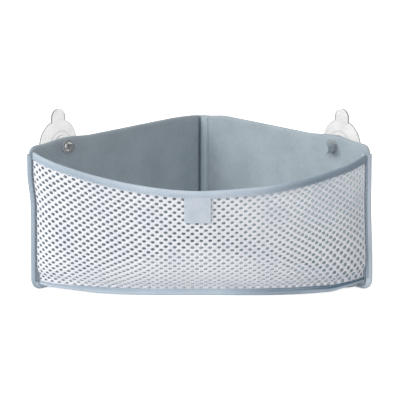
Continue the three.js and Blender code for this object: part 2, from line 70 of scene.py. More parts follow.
WING_LENGTH = 229.0
WING_HEIGHT = 139.0
WING_THICKNESS = 5.0
TAPE_REACH = 1.2
PANEL_FRONT = WING_LENGTH - TAPE_REACH
PANEL_LOW = TAPE_REACH
SEAM_CLEARANCE = 0.4
CORNER_SQUARENESS = 2.6
TOP_CORNER_RADIUS = 8.0
BOTTOM_CORNER_RADIUS = 10.0
CORNER_DIP = 2.5
CORNER_DIP_RUN = 42.0
WING_TAPE_WIDTH = 8.5
WING_TAPE_FROM_CORNER = 8.0
CUP_ALONG = WING_LENGTH - 48.5
CUP_HEIGHT = WING_HEIGHT - 6.5
EAR_RISE = 2.3
EAR_RUN = 34.0
EYELET_HOLE_RADIUS = 5.7

FRONT_BULGE = 43.4
BASE_BULGE = 26.5
BULGE_FULL_HEIGHT = 42.0
CROWN_SHARE = 0.72
SHOULDER_POWER = 16
MOUTH_LOW = 104.9
MOUTH_DIP = 28.5
MOUTH_POWER = 1.8
MESH_ALONG = WING_LENGTH - 3.0
MESH_TUCK = 3.0
MESH_TUCK_RUN = 10.0
MESH_DEPTH = -1.6
MESH_LOW = TAPE_REACH
MESH_FOOT_RISE = 4.5
MESH_FOOT_POWER = 3
SELVEDGE = 9.5
MOUTH_TAPE_WIDTH = 6.8
BASE_TAPE_WIDTH = 6.6
MESH_HALF_THICKNESS = 0.45
GAP_PITCH = 8.15
GAP_ROW_PITCH = 3.3
GAP_WIDTH = 3.7
GAP_HEIGHT = 2.35
GAP_ROWS = 36
GAP_REFERENCE = 60.0
GAP_MARGIN = 3.6
# row pitch at the foot, row pitch above, offset: left, middle, right
GAP_ZONES = [(2.5, 2.92, 4.0), (2.4, 3.3, 0.0), (3.8, 2.75, 8.0)]


def smooth_share(value):
    share = min(max(value, 0.0), 1.0)
    return share * share * (3 - 2 * share)


def eased(value, start, run):
    # 0 up to the start, 1 after the run, smooth between
    return smooth_share((value - start) / run)


def running_lengths(places):
    # the length along a row of places, at each of them
    lengths = [0.0]
    for before, after in zip(places, places[1:]):
        lengths.append(lengths[-1] + (Vector(after) - Vector(before)).length)
    return lengths


# Camera, set from the slopes of the wings' rims and the mouth in the photograph
CAMERA_DISTANCE = 3000.0
CAMERA_ELEVATION = math.radians(13.29)
FOCAL_PIXELS = 3057.0
FRAME_PIXELS = 400.0
SENSOR_WIDTH = 36.0
FAR_CLIP = 60.0
LOOK_AT = Vector((0.0, CORNER_Y - 81.0, 68.4))


def place_camera():
    data = bpy.data.cameras.new("photo_camera")
    camera = bpy.data.objects.new("photo_camera", data)
    bpy.context.scene.collection.objects.link(camera)
    forward = Vector((0.0, math.cos(CAMERA_ELEVATION), -math.sin(CAMERA_ELEVATION)))
    camera.location = (LOOK_AT - forward * CAMERA_DISTANCE) * MM
    camera.rotation_mode = "QUATERNION"
    camera.rotation_quaternion = forward.to_track_quat("-Z", "Y")
    data.sensor_width = SENSOR_WIDTH
    data.lens = FOCAL_PIXELS / FRAME_PIXELS * SENSOR_WIDTH
    data.clip_end = FAR_CLIP
    bpy.context.scene.camera = camera


place_camera()


# Finishes: the nodes that they share
def linear(hex_colour):
    channels = [int(hex_colour[i:i + 2], 16) / 255 for i in (1, 3, 5)]
    return [c / 12.92 if c <= 0.04045 else ((c + 0.055) / 1.055) ** 2.4 for c in channels] + [1.0]


def add(tree, kind, inputs=None, **settings):
    node = tree.nodes.new(kind)
    for key, value in settings.items():
        setattr(node, key, value)
    for socket, value in (inputs or {}).items():
        if isinstance(value, bpy.types.NodeSocket):
            tree.links.new(value, node.inputs[socket])
        else:
            node.inputs[socket].default_value = value
    return node


def new_material(name):
    material = bpy.data.materials.new(name)
    material.use_nodes = True
    material.node_tree.nodes.clear()
    return material, material.node_tree


def on_cloth(tree):
    return add(tree, "ShaderNodeUVMap", uv_map="cloth").outputs[0]


def in_solid(tree):
    return add(tree, "ShaderNodeTexCoord").outputs["Object"]


def per_metre(size_mm):
    return 1 / (size_mm * MM)


def bands(tree, place, spacing_mm, direction, distortion, detail=2.0, detail_scale=1.0):
    # a wave texture repeats every pi / 10 of its coordinate at scale 1
    inputs = {"Vector": place, "Scale": math.pi / 10 * per_metre(spacing_mm), "Distortion": distortion,
              "Detail": detail, "Detail Scale": detail_scale}
    return add(tree, "ShaderNodeTexWave", inputs, bands_direction=direction).outputs["Fac"]


def clouds(tree, place, size_mm, detail=2.0, roughness=0.5):
    inputs = {"Vector": place, "Scale": per_metre(size_mm), "Detail": detail, "Roughness": roughness}
    return add(tree, "ShaderNodeTexNoise", inputs).outputs["Fac"]


def weighted(tree, value, weight, other):
    inputs = {0: value, 1: weight, 2: other}
    return add(tree, "ShaderNodeMath", inputs, operation="MULTIPLY_ADD").outputs[0]


def two_tones(tree, value, shade, colour, start=0.0, end=1.0):
    ramp = add(tree, "ShaderNodeValToRGB", {"Fac": value})
    for element, position, tone in zip(ramp.color_ramp.elements, (start, end), (shade, colour)):
        element.position = position
        element.color = linear(tone)
    return ramp.outputs["Color"]


def mixed_by(tree, attribute, colour, other):
    share = add(tree, "ShaderNodeAttribute", attribute_name=attribute)
    inputs = {"Factor": share.outputs["Fac"], "A": colour, "B": linear(other)}
    return add(tree, "ShaderNodeMix", inputs, data_type="RGBA").outputs["Result"]


def relief(tree, height, strength, distance_mm):
    inputs = {"Height": height, "Strength": strength, "Distance": distance_mm * MM}
    return add(tree, "ShaderNodeBump", inputs).outputs["Normal"]


def surfaced(material, inputs):
    tree = material.node_tree
    surface = add(tree, "ShaderNodeBsdfPrincipled", inputs)
    add(tree, "ShaderNodeOutputMaterial", {"Surface": surface.outputs["BSDF"]})
    return material


# Finishes: one for each real material
def woven_canvas(name, colour, shade):
    # plain-woven polyester over foam: matt, faintly ribbed both ways, a little uneven in tone and soft at
    # grazing angles; its threads are 0.5 mm apart and are drawn at 1.9 mm so that they show
    material, tree = new_material(name)
    place = on_cloth(tree)
    warp = bands(tree, place, 1.9, "X", distortion=0.6, detail=1.0, detail_scale=2.0)
    weft = bands(tree, place, 1.9, "Y", distortion=0.6, detail=1.0, detail_scale=2.0)
    weave = add(tree, "ShaderNodeMath", {0: warp, 1: weft}, operation="MULTIPLY").outputs[0]
    patches = clouds(tree, place, 26.0, detail=3.0, roughness=0.55)
    slubs = clouds(tree, place, 3.2)
    tone = weighted(tree, slubs, 0.5, weighted(tree, weave, 0.35, patches))
    return surfaced(material, {
        "Base Color": two_tones(tree, tone, shade, colour, start=0.45),
        "Normal": relief(tree, weighted(tree, slubs, 0.7, weave), strength=0.35, distance_mm=0.4),
        "Roughness": 0.86, "IOR": 1.5, "Sheen Weight": 0.18, "Sheen Roughness": 0.5})


def binding_tape(name, colour, shade, painted_shade_colour):
    # ribbed polyester binding: smoother than the canvas, fine ribs across its length, a soft shine, and
    # painted light and shade mixed in by a per-point share; its ribs are 0.7 mm apart and are drawn at 1.7 mm
    material, tree = new_material(name)
    place = on_cloth(tree)
    ribs = bands(tree, place, 1.7, "X", distortion=0.4, detail=1.0, detail_scale=3.0)
    strands = bands(tree, place, 0.9, "Y", distortion=0.8)
    stretched = add(tree, "ShaderNodeMapping", {"Vector": place, "Scale": (1.0, 3.0, 1.0)}).outputs[0]
    patches = clouds(tree, stretched, 22.0, detail=3.0)
    slack = two_tones(tree, weighted(tree, ribs, 0.3, patches), shade, colour, start=0.3, end=0.85)
    return surfaced(material, {
        # painted shade: the per-point share mixes the painted shade colour into the tape's own
        "Base Color": mixed_by(tree, "tone", slack, painted_shade_colour),
        "Normal": relief(tree, weighted(tree, strands, 0.4, ribs), strength=0.3, distance_mm=0.3),
        "Roughness": 0.58, "IOR": 1.5, "Sheen Weight": 0.15, "Sheen Roughness": 0.4})


def warp_knit(name, colour, shade):
    # white warp-knit polyester: bright, with fine loops in columns, a shade greyer in patches; its loops are
    # 0.6 mm apart and are drawn at 1.2 mm
    material, tree = new_material(name)
    place = on_cloth(tree)
    loops = bands(tree, place, 1.2, "X", distortion=2.0, detail=1.0, detail_scale=1.5)
    fuzz = clouds(tree, place, 1.6)
    tone = weighted(tree, fuzz, 0.4, clouds(tree, place, 30.0))
    return surfaced(material, {
        "Base Color": two_tones(tree, tone, shade, colour, start=0.35, end=0.75),
        "Normal": relief(tree, weighted(tree, loops, 0.6, fuzz), strength=0.3, distance_mm=0.3),
        "Roughness": 0.75, "IOR": 1.5, "Sheen Weight": 0.1})


def clear_pvc(name, colour, shade, edge):
    # moulded soft PVC: clear with a milky cast, smooth with faint flow marks, with painted shade in its walls
    # for the dark outline that clear walls show edge-on
    material, tree = new_material(name)
    flow = clouds(tree, in_solid(tree), 14.0, detail=3.0)
    milky = two_tones(tree, flow, shade, colour, start=0.35, end=0.65)
    rough = add(tree, "ShaderNodeMapRange", {"Value": flow, "To Min": 0.1, "To Max": 0.2})
    return surfaced(material, {
        # painted shade: each face's wall share mixes in the grey edge colour
        "Base Color": mixed_by(tree, "wall", milky, edge),
        "Normal": relief(tree, flow, strength=0.04, distance_mm=0.5),
        "Roughness": rough.outputs["Result"], "IOR": 1.12, "Transmission Weight": 0.85})


def label_film(name, colour, shade):
    # thin soft TPU film: cloudy and slightly see-through, satin, with a faint moulded grain
    material, tree = new_material(name)
    place = in_solid(tree)
    cloud = clouds(tree, place, 9.0, detail=3.0)
    grain = clouds(tree, place, 1.4, detail=1.0)
    return surfaced(material, {
        "Base Color": two_tones(tree, cloud, shade, colour, start=0.3, end=0.7),
        "Normal": relief(tree, grain, strength=0.15, distance_mm=0.2),
        "Roughness": 0.38, "IOR": 1.49, "Transmission Weight": 0.3})


def moulded_plastic(name, colour, shade):
    # moulded polypropylene: satin grey with a fine spark texture, a little paler where it is rubbed
    material, tree = new_material(name)
    place = in_solid(tree)
    spark = clouds(tree, place, 0.9)
    rubbed = clouds(tree, place, 6.0)
    return surfaced(material, {
        "Base Color": two_tones(tree, rubbed, shade, colour, start=0.3, end=0.7),
        "Normal": relief(tree, spark, strength=0.2, distance_mm=0.1),
        "Roughness": 0.45, "IOR": 1.49})


def open_cell_foam(name, colour, shade):
    # polyurethane foam: matt, pale, full of small pores
    material, tree = new_material(name)
    inputs = {"Vector": in_solid(tree), "Scale": per_metre(1.5)}
    pores = add(tree, "ShaderNodeTexVoronoi", inputs).outputs["Distance"]
    return surfaced(material, {
        "Base Color": two_tones(tree, pores, shade, colour, end=0.6),
        "Normal": relief(tree, pores, strength=0.5, distance_mm=0.5),
        "Roughness": 0.95, "IOR": 1.45})


def sewing_thread(name, colour, shade):
    # spun polyester thread: matt, two shades twisted together
    material, tree = new_material(name)
    twist = bands(tree, in_solid(tree), 0.5, "DIAGONAL", distortion=1.0)
    return surfaced(material, {
        "Base Color": two_tones(tree, twist, shade, colour),
        "Roughness": 0.8, "IOR": 1.5, "Sheen Weight": 0.2})


LINING = woven_canvas("lining_canvas", "#b5c1c8", "#9fabb3")
COVER = woven_canvas("cover_canvas", "#a7b2b9", "#929ea6")
# each binding's third colour is painted shade, mixed in along the tapes to paint where light and shade fall
TAPE = binding_tape("ribbed_binding", "#dce8f4", "#c6d5e4", "#415f73")
SEAM_TAPE = binding_tape("grey_seam_binding", "#bfccd2", "#b0bec5", "#7d8c94")
KNIT = warp_knit("white_warp_knit", "#f4f6fb", "#e3e6f0")
# the clear PVC's last colour is painted shade for its walls
PVC = clear_pvc("clear_soft_pvc", "#d9d9d8", "#cfcfcf", "#5b5e63")
FILM = label_film("cloudy_film", "#ebf3fb", "#dbe6f2")
EYELET = moulded_plastic("eyelet_polypropylene", "#b4bcc1", "#a0a9af")
FOAM = open_cell_foam("padding_foam", "#dedbd1", "#bdb9ad")
THREAD = sewing_thread("sewing_thread", "#bccbd8", "#a5b7c6")
# the side seams' thread: a dark copy painted as shade and a pale copy painted as light
SHADE_PAINTED_SEAM_THREAD = sewing_thread("seam_thread_painted_shade", "#7d8998", "#626d7b")
LIGHT_PAINTED_SEAM_THREAD = sewing_thread("seam_thread_painted_light", "#b8c9d9", "#98adc0")


# Making and placing pieces
def piece_from(name, points, faces, uvs=None):
    mesh = bpy.data.meshes.new(name)
    mesh.from_pydata([tuple(p * MM) for p in points], [], faces)
    if uvs:
        layer = mesh.uv_layers.new(name="cloth")
        for loop in mesh.loops:
            u, v = uvs[loop.vertex_index]
            layer.data[loop.index].uv = (u * MM, v * MM)
    made = bmesh.new()
    made.from_mesh(mesh)
    bmesh.ops.recalc_face_normals(made, faces=made.faces)
    made.to_mesh(mesh)
    made.free()
    obj = bpy.data.objects.new(name, mesh)
    bpy.context.scene.collection.objects.link(obj)
    for polygon in mesh.polygons:
        polygon.use_smooth = True
    return obj


def give_painted_shading(obj, painted_shading):
    # painted light and shade at every point of a tape's mesh, as a share of the painted shade colour: 0 for
    # none, 1 for all of it
    layer = obj.data.attributes.new("tone", "FLOAT", "POINT")
    layer.data.foreach_set("value", painted_shading)


def select_only(obj):
    bpy.ops.object.select_all(action="DESELECT")
    obj.select_set(True)
    bpy.context.view_layer.objects.active = obj


def apply_modifier(obj, kind, **settings):
    modifier = obj.modifiers.new(kind.lower(), kind)
    for key, value in settings.items():
        setattr(modifier, key, value)
    select_only(obj)
    bpy.ops.object.modifier_apply(modifier=modifier.name)


def settle(obj, material, slot, *nodes):
    obj.data.materials.clear()
    obj.data.materials.append(material)
    if nodes:
        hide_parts(*nodes)


def follow_both_wings(obj):
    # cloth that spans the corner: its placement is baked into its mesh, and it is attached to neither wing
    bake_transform(obj)


def on_wing(side, along, depth, height):
    return Vector((side * (along + depth) * COS_TURN, CORNER_Y + (depth - along) * COS_TURN, height))


def wing_normal(side, face):
    # out of the wing's inner face for -1 and out of its back for 1
    return Vector((side * face * COS_TURN, face * COS_TURN, 0.0))


# The soft pieces don't stand quite true: the wings' feet are pulled forward, the left one is turned in below
# its top, the right front corner is lower, the right rim bows up and most at its end. Pairs below are a start
# and a run
HALF_SPAN = 155.0
FOOT_FORWARD, FOOT_HEIGHTS = 8.0, (5.0, 75.0)
LEFT_TURNED_IN, LEFT_TURN_HEIGHTS = 2.8, (80.0, 34.0)
RIGHT_TURNED_IN, RIGHT_TURN_HEIGHTS, RIGHT_TURN_BELOW = 1.6, (20.0, 70.0), 0.35
RIGHT_CORNER_DROP, DROP_ACROSS, DROP_HEIGHTS = 2.8, (118.0, 36.0), (40.0, 80.0)
RIGHT_RIM_RISE, RIM_ALONG, RIM_POWER = 1.8, (10.0, 25.0), 6
RIGHT_EAR, RIGHT_EAR_ALONG = 2.6, (165.0, 40.0)


def settled(place):
    end_share = min(abs(place.x) / HALF_SPAN, 1.0)
    forward = FOOT_FORWARD * end_share * (1 - eased(place.z, *FOOT_HEIGHTS))
    if place.x < 0:
        aside = LEFT_TURNED_IN * end_share * (1 - eased(place.z, *LEFT_TURN_HEIGHTS))
        return Vector((place.x + aside, place.y - forward, place.z))
    aside = RIGHT_TURNED_IN * end_share * (eased(place.z, *RIGHT_TURN_HEIGHTS) - RIGHT_TURN_BELOW)
    drop = RIGHT_CORNER_DROP * eased(place.x, *DROP_ACROSS) * eased(place.z, *DROP_HEIGHTS)
    return Vector((place.x - aside, place.y - forward, place.z - drop))


def on_soft_wing(side, along, depth, height):
    if side == RIGHT:
        rise = RIGHT_RIM_RISE * eased(along, *RIM_ALONG) + RIGHT_EAR * eased(along, *RIGHT_EAR_ALONG)
        height += rise * (max(height, 0.0) / WING_HEIGHT) ** RIM_POWER
    return settled(on_wing(side, along, depth, height))


# Padded wings
FOOT_RADIUS = BOTTOM_CORNER_RADIUS - TAPE_REACH
SEAM_STEPS = (0, 0.3, 0.8, 1.5, 2.4, 3.6, 5.5, 8.0)
EDGE_STEPS = (0.0, 0.25, 0.6, 1.1, 1.8, 2.7, 4.0, 6.0, 9.0)
MIDDLE_ROWS = 26
STATION_STEP = 4.0
STATION_STEP_AT_CUP = 2.0
CUP_STATIONS_REACH = 12.0
EDGE_ROUND = 4.0
HALF_PAD = WING_THICKNESS / 2


def rim_height(along):
    height = WING_HEIGHT
    if along < CORNER_DIP_RUN:
        height -= CORNER_DIP * ((CORNER_DIP_RUN - along) / CORNER_DIP_RUN) ** 2
    ear = abs(along - CUP_ALONG) / EAR_RUN
    if ear < 1:
        height += EAR_RISE * (0.5 + 0.5 * math.cos(math.pi * ear))
    bend = along - (PANEL_FRONT - TOP_CORNER_RADIUS)
    if bend > 0:
        height += math.sqrt(max(TOP_CORNER_RADIUS ** 2 - bend ** 2, 0.0)) - TOP_CORNER_RADIUS
    return height


def foot_height(along):
    bend = along - (PANEL_FRONT - FOOT_RADIUS)
    if bend <= 0:
        return PANEL_LOW
    return PANEL_LOW + FOOT_RADIUS - math.sqrt(max(FOOT_RADIUS ** 2 - bend ** 2, 0.0))


def edge_distance(along, height):
    top_bend = (along - (PANEL_FRONT - TOP_CORNER_RADIUS), height - (WING_HEIGHT - TOP_CORNER_RADIUS))
    foot_bend = (along - (PANEL_FRONT - FOOT_RADIUS), PANEL_LOW + FOOT_RADIUS - height)
    # the pads are squarer along the corner seam than along their free edges
    room = [(along - SEAM_CLEARANCE) * CORNER_SQUARENESS, PANEL_FRONT - along, rim_height(along) - height,
            height - foot_height(along)]
    if min(top_bend) > 0:
        room.append(TOP_CORNER_RADIUS - math.hypot(*top_bend))
        room[2] = room[1]
    if min(foot_bend) > 0:
        room.append(FOOT_RADIUS - math.hypot(*foot_bend))
        room[3] = room[1]
    return max(min(room), 0.0)


def wing_stations(inset):
    start, end = SEAM_CLEARANCE + inset, PANEL_FRONT - inset
    alongs = [start + step for step in SEAM_STEPS]
    along = alongs[-1] + STATION_STEP
    last = end - TOP_CORNER_RADIUS
    while along < last - 2.0:
        alongs.append(along)
        along += STATION_STEP_AT_CUP if abs(along - CUP_ALONG) < CUP_STATIONS_REACH else STATION_STEP
    return alongs + [last + TOP_CORNER_RADIUS * math.sin(turn) for turn in QUARTER_TURN]


def wing_rows(low, high):
    heights = [low + step for step in EDGE_STEPS]
    run = high - low - 2 * EDGE_STEPS[-1]
    heights += [low + EDGE_STEPS[-1] + run * row / MIDDLE_ROWS for row in range(1, MIDDLE_ROWS)]
    return heights + [high - step for step in reversed(EDGE_STEPS)]


def puff(along, height):
    # the cloth lies over the foam in slow, shallow swells
    place = Vector((along / 46.0, height / 38.0, 0.0))
    return 0.35 * noise(place) + 0.12 * noise(place * 2.7)


def rounded_half(half, from_edge, run):
    # half a pad's thickness, rounded off over a run from its edge
    lean = 1 - min(from_edge / run, 1.0)
    return half * math.sqrt(max(1 - lean * lean, 0.0))


def pad_half(along, height):
    return rounded_half(HALF_PAD, edge_distance(along, height), EDGE_ROUND)


def wing_shell(name, side, depths, edge_depth, inset=0.0):
    # two faces of one cloth or pad, at two depths for a place on the wing, closed along the shared edge
    alongs = wing_stations(inset)
    points, uvs, front_ids, back_ids = [], [], {}, {}
    row_count = len(wing_rows(PANEL_LOW, WING_HEIGHT))
    for i, along in enumerate(alongs):
        rows = wing_rows(foot_height(along) + inset, rim_height(along) - inset)
        for j, height in enumerate(rows):
            edge = i in (0, len(alongs) - 1) or j in (0, row_count - 1)
            front_ids[i, j] = len(points)
            for depth in [edge_depth] if edge else depths(along, height):
                back_ids[i, j] = len(points)
                points.append(on_soft_wing(side, along, depth, height))
                uvs.append((along, height))
    faces = []
    for i in range(len(alongs) - 1):
        for j in range(row_count - 1):
            corners = [(i, j), (i + 1, j), (i + 1, j + 1), (i, j + 1)]
            faces.append([front_ids[c] for c in corners])
            faces.append([back_ids[c] for c in reversed(corners)])
    return piece_from(name, points, faces, uvs)


CLOTH_THICKNESS = 0.7
SEAM_GAP = 0.03
LINING_SINK, LINING_PUFF = 0.3, 0.6
COVER_SINK, COVER_PUFF = 0.2, 0.5
FOAM_INSET = 2.2
FOAM_HALF = 1.05
FOAM_ROUND = 2.5
PUNCH_DEPTH = 30.0
PUNCH_SIDES = 48


def lining_depths(along, height):
    face = HALF_PAD - pad_half(along, height) + LINING_SINK + puff(along, height) * LINING_PUFF
    return face, min(face + CLOTH_THICKNESS, HALF_PAD - SEAM_GAP)


def cover_depths(along, height):
    face = HALF_PAD + pad_half(along, height) - COVER_SINK - puff(height, along) * COVER_PUFF
    return face, max(face - CLOTH_THICKNESS, HALF_PAD + SEAM_GAP)


def foam_depths(along, height):
    half = rounded_half(FOAM_HALF, max(edge_distance(along, height) - FOAM_INSET, 0.0), FOAM_ROUND)
    return HALF_PAD - half, HALF_PAD + half


def punch_eyelet_hole(obj, side):
    middle = on_wing(side, CUP_ALONG, HALF_PAD, CUP_HEIGHT) * MM
    bpy.ops.mesh.primitive_cylinder_add(vertices=PUNCH_SIDES, radius=EYELET_HOLE_RADIUS * MM,
                                        depth=PUNCH_DEPTH * MM, location=middle,
                                        rotation=(math.pi / 2, 0, -side * math.pi / 4))
    punch = bpy.context.object
    apply_modifier(obj, "BOOLEAN", object=punch, operation="DIFFERENCE", solver="EXACT")
    bpy.data.objects.remove(punch)


for wing, side in SIDES.items():
    lining = wing_shell(f"{wing}_lining_cloth", side, lining_depths, HALF_PAD - SEAM_GAP)
    pad = wing_shell(f"{wing}_foam_pad", side, foam_depths, HALF_PAD, FOAM_INSET)
    cover = wing_shell(f"{wing}_cover_cloth", side, cover_depths, HALF_PAD + SEAM_GAP)
    for layer in (lining, pad, cover):
        punch_eyelet_hole(layer, side)
        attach(layer, f"{wing}_wing")
    settle(lining, LINING, "lining_fabric", f"{wing}_back_lining")
    settle(pad, FOAM, "padding_foam", f"{wing}_back_foam")
    settle(cover, COVER, "cover_fabric", f"{wing}_back_cover")


# Tapes: a rounded U section swept along an edge, with rows of stitches
FOLD_STEPS = 8
TAPE_STEP = 3.0
STITCH_SIDES = 6
STITCH_RINGS = ((-0.42, 0.75), (0.0, 1.0), (0.42, 0.75))
STITCH_SINK = 0.6


def swept(name, rings, uvs):
    # a closed tube of like rings with flat ends
    size = len(rings[0])
    points = [p for ring in rings for p in ring]
    faces = []
    for ring in range(len(rings) - 1):
        for i in range(size):
            a, b = ring * size + i, ring * size + (i + 1) % size
            faces.append([a, b, b + size, a + size])
    for first in (0, (len(rings) - 1) * size):
        for i in range(size // 2 - 1):
            faces.append([first + i, first + i + 1, first + size - 2 - i, first + size - 1 - i])
    return piece_from(name, points, faces, uvs)


def tape_section(half, reach, width, thickness, fold_round, stitch_in, pinch, waist=0.0):
    # out of the cloth and down from its edge: one leg, the fold, the other leg, outside and then inside
    leg = width - reach
    outer = []
    for down in (leg, leg - stitch_in * 0.5, leg - stitch_in, leg - stitch_in * 1.6, leg * 0.45):
        near = 1 - min(abs(down - (leg - stitch_in)) / (stitch_in * 1.2), 1.0)
        outer.append((half - waist - pinch * smooth_share(near), down))
    other_leg = [(-out, down) for out, down in reversed(outer)]
    for step in range(FOLD_STEPS + 1):
        turn = math.pi * step / FOLD_STEPS
        outer.append((half * math.cos(turn), fold_round - reach - fold_round * math.sin(turn) ** 0.8))
    outer += other_leg
    inner = []
    for out, down in outer:
        fold_share = smooth_share((fold_round - reach - down) / fold_round)
        if abs(down) < fold_round:
            inside = out * (half - thickness) / half
        else:
            inside = out - math.copysign(thickness, out)
        inner.append((inside, down + thickness * fold_share))
    return outer + inner[::-1]


def swept_tape(name, section, rings, runs, painted_shading):
    arcs = running_lengths(section)
    tape = swept(name, rings, [(run, arc) for run in runs for arc in arcs])
    give_painted_shading(tape, painted_shading)
    return tape


def stitch_row(name, places, radius=0.24, length=2.3):
    # each place is a middle, a direction and a normal; one small spindle of thread for each stitch
    points, faces = [], []
    for middle, along, out in places:
        across = along.cross(out).normalized()
        sunk = middle - out * radius * STITCH_SINK
        first = len(points)
        points.append(sunk - along * length / 2)
        for share, wide in STITCH_RINGS:
            for i in range(STITCH_SIDES):
                turn = 2 * math.pi * i / STITCH_SIDES
                ring = across * math.cos(turn) + out * math.sin(turn)
                points.append(middle + along * share * length + ring * radius * wide)
        last = len(points)
        points.append(sunk + along * length / 2)
        for i in range(STITCH_SIDES):
            j = (i + 1) % STITCH_SIDES
            faces.append([first, first + 1 + j, first + 1 + i])
            for ring in range(len(STITCH_RINGS) - 1):
                a = first + 1 + ring * STITCH_SIDES
                b = a + STITCH_SIDES
                faces.append([a + i, a + j, b + j, b + i])
            faces.append([last, last - STITCH_SIDES + i, last - STITCH_SIDES + j])
    return piece_from(name, points, faces)


def ripple(run):
    return 0.12 * math.sin(run / 5.3) + 0.1 * noise(Vector((run / 9.0, 3.7, 0.0)))


# The wings' edge tapes run along the bottom, round the front corner and up the front
WING_TAPE_HALF = HALF_PAD + TAPE_REACH
WING_TAPE_THICKNESS = 0.8
WING_TAPE_FOLD = 4.2
WING_TAPE_STITCH_IN = 1.6
WING_TAPE_PINCH = 0.25
WING_STITCH_SINK = 0.12
WING_STITCH_ROOM = 5.0
# painted shade over the front and on the inner flank, that fades towards the foot: the left tape's front, in
# shade, is painted dark, and the flanks are painted lightest at the foot against the shadow there
WING_TAPE_PAINTED_SHADING = {LEFT: (0.545, 0.24), RIGHT: (0.0, 0.18)}
FLANK_HEIGHTS = (20.0, 45.0)


def wing_edge_path():
    # a place along and up the wing and the direction into it, for each ring
    radius = BOTTOM_CORNER_RADIUS
    path = []
    along = WING_TAPE_FROM_CORNER
    while along < WING_LENGTH - radius - 1.0:
        path.append((along, 0.0, 0.0, 1.0))
        along += TAPE_STEP
    for turn in QUARTER_TURN:
        out, up = math.cos(turn - math.pi / 2), math.sin(turn - math.pi / 2)
        path.append((WING_LENGTH - radius + radius * out, radius + radius * up, -out, -up))
    height = radius + TAPE_STEP
    top = WING_HEIGHT - TOP_CORNER_RADIUS
    while height < top - 1.0:
        path.append((WING_LENGTH, height, -1.0, 0.0))
        height += TAPE_STEP
    path.append((WING_LENGTH, top, -1.0, 0.0))
    return path


def wing_edge_tape(wing, side):
    section = tape_section(WING_TAPE_HALF, 0.0, WING_TAPE_WIDTH, WING_TAPE_THICKNESS, WING_TAPE_FOLD,
                           WING_TAPE_STITCH_IN, WING_TAPE_PINCH)
    path = wing_edge_path()
    runs = running_lengths([place[:2] for place in path])
    bare, flank = WING_TAPE_PAINTED_SHADING[side]
    rings, painted_shading = [], []
    for run, (along, height, in_along, in_height) in zip(runs, path):
        wave = ripple(run)
        # painted shade on the inner flank, none at the foot and rising with height
        inside = flank * eased(height, *FLANK_HEIGHTS)
        ring = []
        for out, down in section:
            reach = max(down + wave * min(down / WING_TAPE_WIDTH, 1.0), 0.0)
            up = height + in_height * reach
            ring.append(on_soft_wing(side, along + in_along * reach, HALF_PAD - out, up))
            painted_shading.append(bare + (inside - bare) * eased(out / WING_TAPE_HALF, 0.6, 0.4))
        rings.append(ring)
    tape = swept_tape(f"{wing}_edge_tape", section, rings, runs, painted_shading)
    return tape, stitch_row(f"{wing}_edge_stitching", wing_stitches(side, path))


def wing_stitches(side, path):
    stitches = []
    down = WING_TAPE_WIDTH - WING_TAPE_STITCH_IN
    for before, (along, height, in_along, in_height), after in zip(path, path[1:], path[2:]):
        if math.dist(before[:2], after[:2]) < WING_STITCH_ROOM:
            continue
        direction = on_soft_wing(side, after[0], 0, after[1]) - on_soft_wing(side, before[0], 0, before[1])
        for face in (-1, 1):
            depth = HALF_PAD + face * (WING_TAPE_HALF - WING_STITCH_SINK)
            middle = on_soft_wing(side, along + in_along * down, depth, height + in_height * down)
            stitches.append((middle, direction.normalized(), wing_normal(side, face)))
    return stitches


for wing, side in SIDES.items():
    tape, stitching = wing_edge_tape(wing, side)
    settle(tape, TAPE, "binding_tape", f"{wing}_edge_binding")
    settle(stitching, THREAD, "binding_tape")
    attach(tape, f"{wing}_wing")
    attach(stitching, f"{wing}_wing")


# The mesh front as a surface over a share across (-1 at the left end, 1 at the right) and a height
MOUTH_SLACK = 2.8
ARC_SAMPLES = 400
CLOTH_HEIGHT = MOUTH_LOW - MESH_LOW
SELVEDGE_RISE = SELVEDGE - MESH_LOW
MOUTH_LEAN, MOUTH_LEAN_RISE = 0.45, 9.0
FOOT_LEAN, FOOT_LEAN_RISE = 0.3, 7.0
AXIS_REACH = 0.5


def ease_out(height, start, end):
    left = 1 - min(max((height - start) / (end - start), 0.0), 1.0)
    return 1 - left * left


def mouth_height(across):
    slack = MOUTH_SLACK * eased(across, 0.1, 0.5) * (1 - eased(across, 0.72, 0.28))
    return MOUTH_LOW + MOUTH_DIP * abs(across) ** MOUTH_POWER - slack


def mesh_foot(across):
    if across < 0:
        slack = 1.4 * eased(-across, 0.6, 0.25)
    else:
        slack = 3.0 * eased(across, 0.78, 0.14) + 1.8 * eased(across, 0.88, 0.12)
    return MESH_LOW + MESH_FOOT_RISE * abs(across) ** MESH_FOOT_POWER + slack


def front_point(across, height):
    level = height - mesh_foot(across) + MESH_LOW
    along = MESH_ALONG - MESH_TUCK * (1 - ease_out(level, SELVEDGE, SELVEDGE + MESH_TUCK_RUN))
    end_x = (along + MESH_DEPTH) * COS_TURN
    end_y = (MESH_DEPTH - along) * COS_TURN
    bulge = BASE_BULGE + (FRONT_BULGE - BASE_BULGE) * ease_out(level, SELVEDGE, BULGE_FULL_HEIGHT)
    swell = CROWN_SHARE * (1 - across ** 2) + (1 - CROWN_SHARE) * (1 - across ** SHOULDER_POWER)
    return settled(Vector((across * end_x, CORNER_Y + end_y - bulge * swell, height)))


arc_lengths = running_lengths([front_point(2 * sample / ARC_SAMPLES - 1, BULGE_FULL_HEIGHT)
                               for sample in range(ARC_SAMPLES + 1)])
CLOTH_LENGTH = arc_lengths[-1]


def across_at(length):
    after = min(max(bisect.bisect_left(arc_lengths, length), 1), ARC_SAMPLES)
    share = (length - arc_lengths[after - 1]) / (arc_lengths[after] - arc_lengths[after - 1])
    return 2 * (after - 1 + share) / ARC_SAMPLES - 1


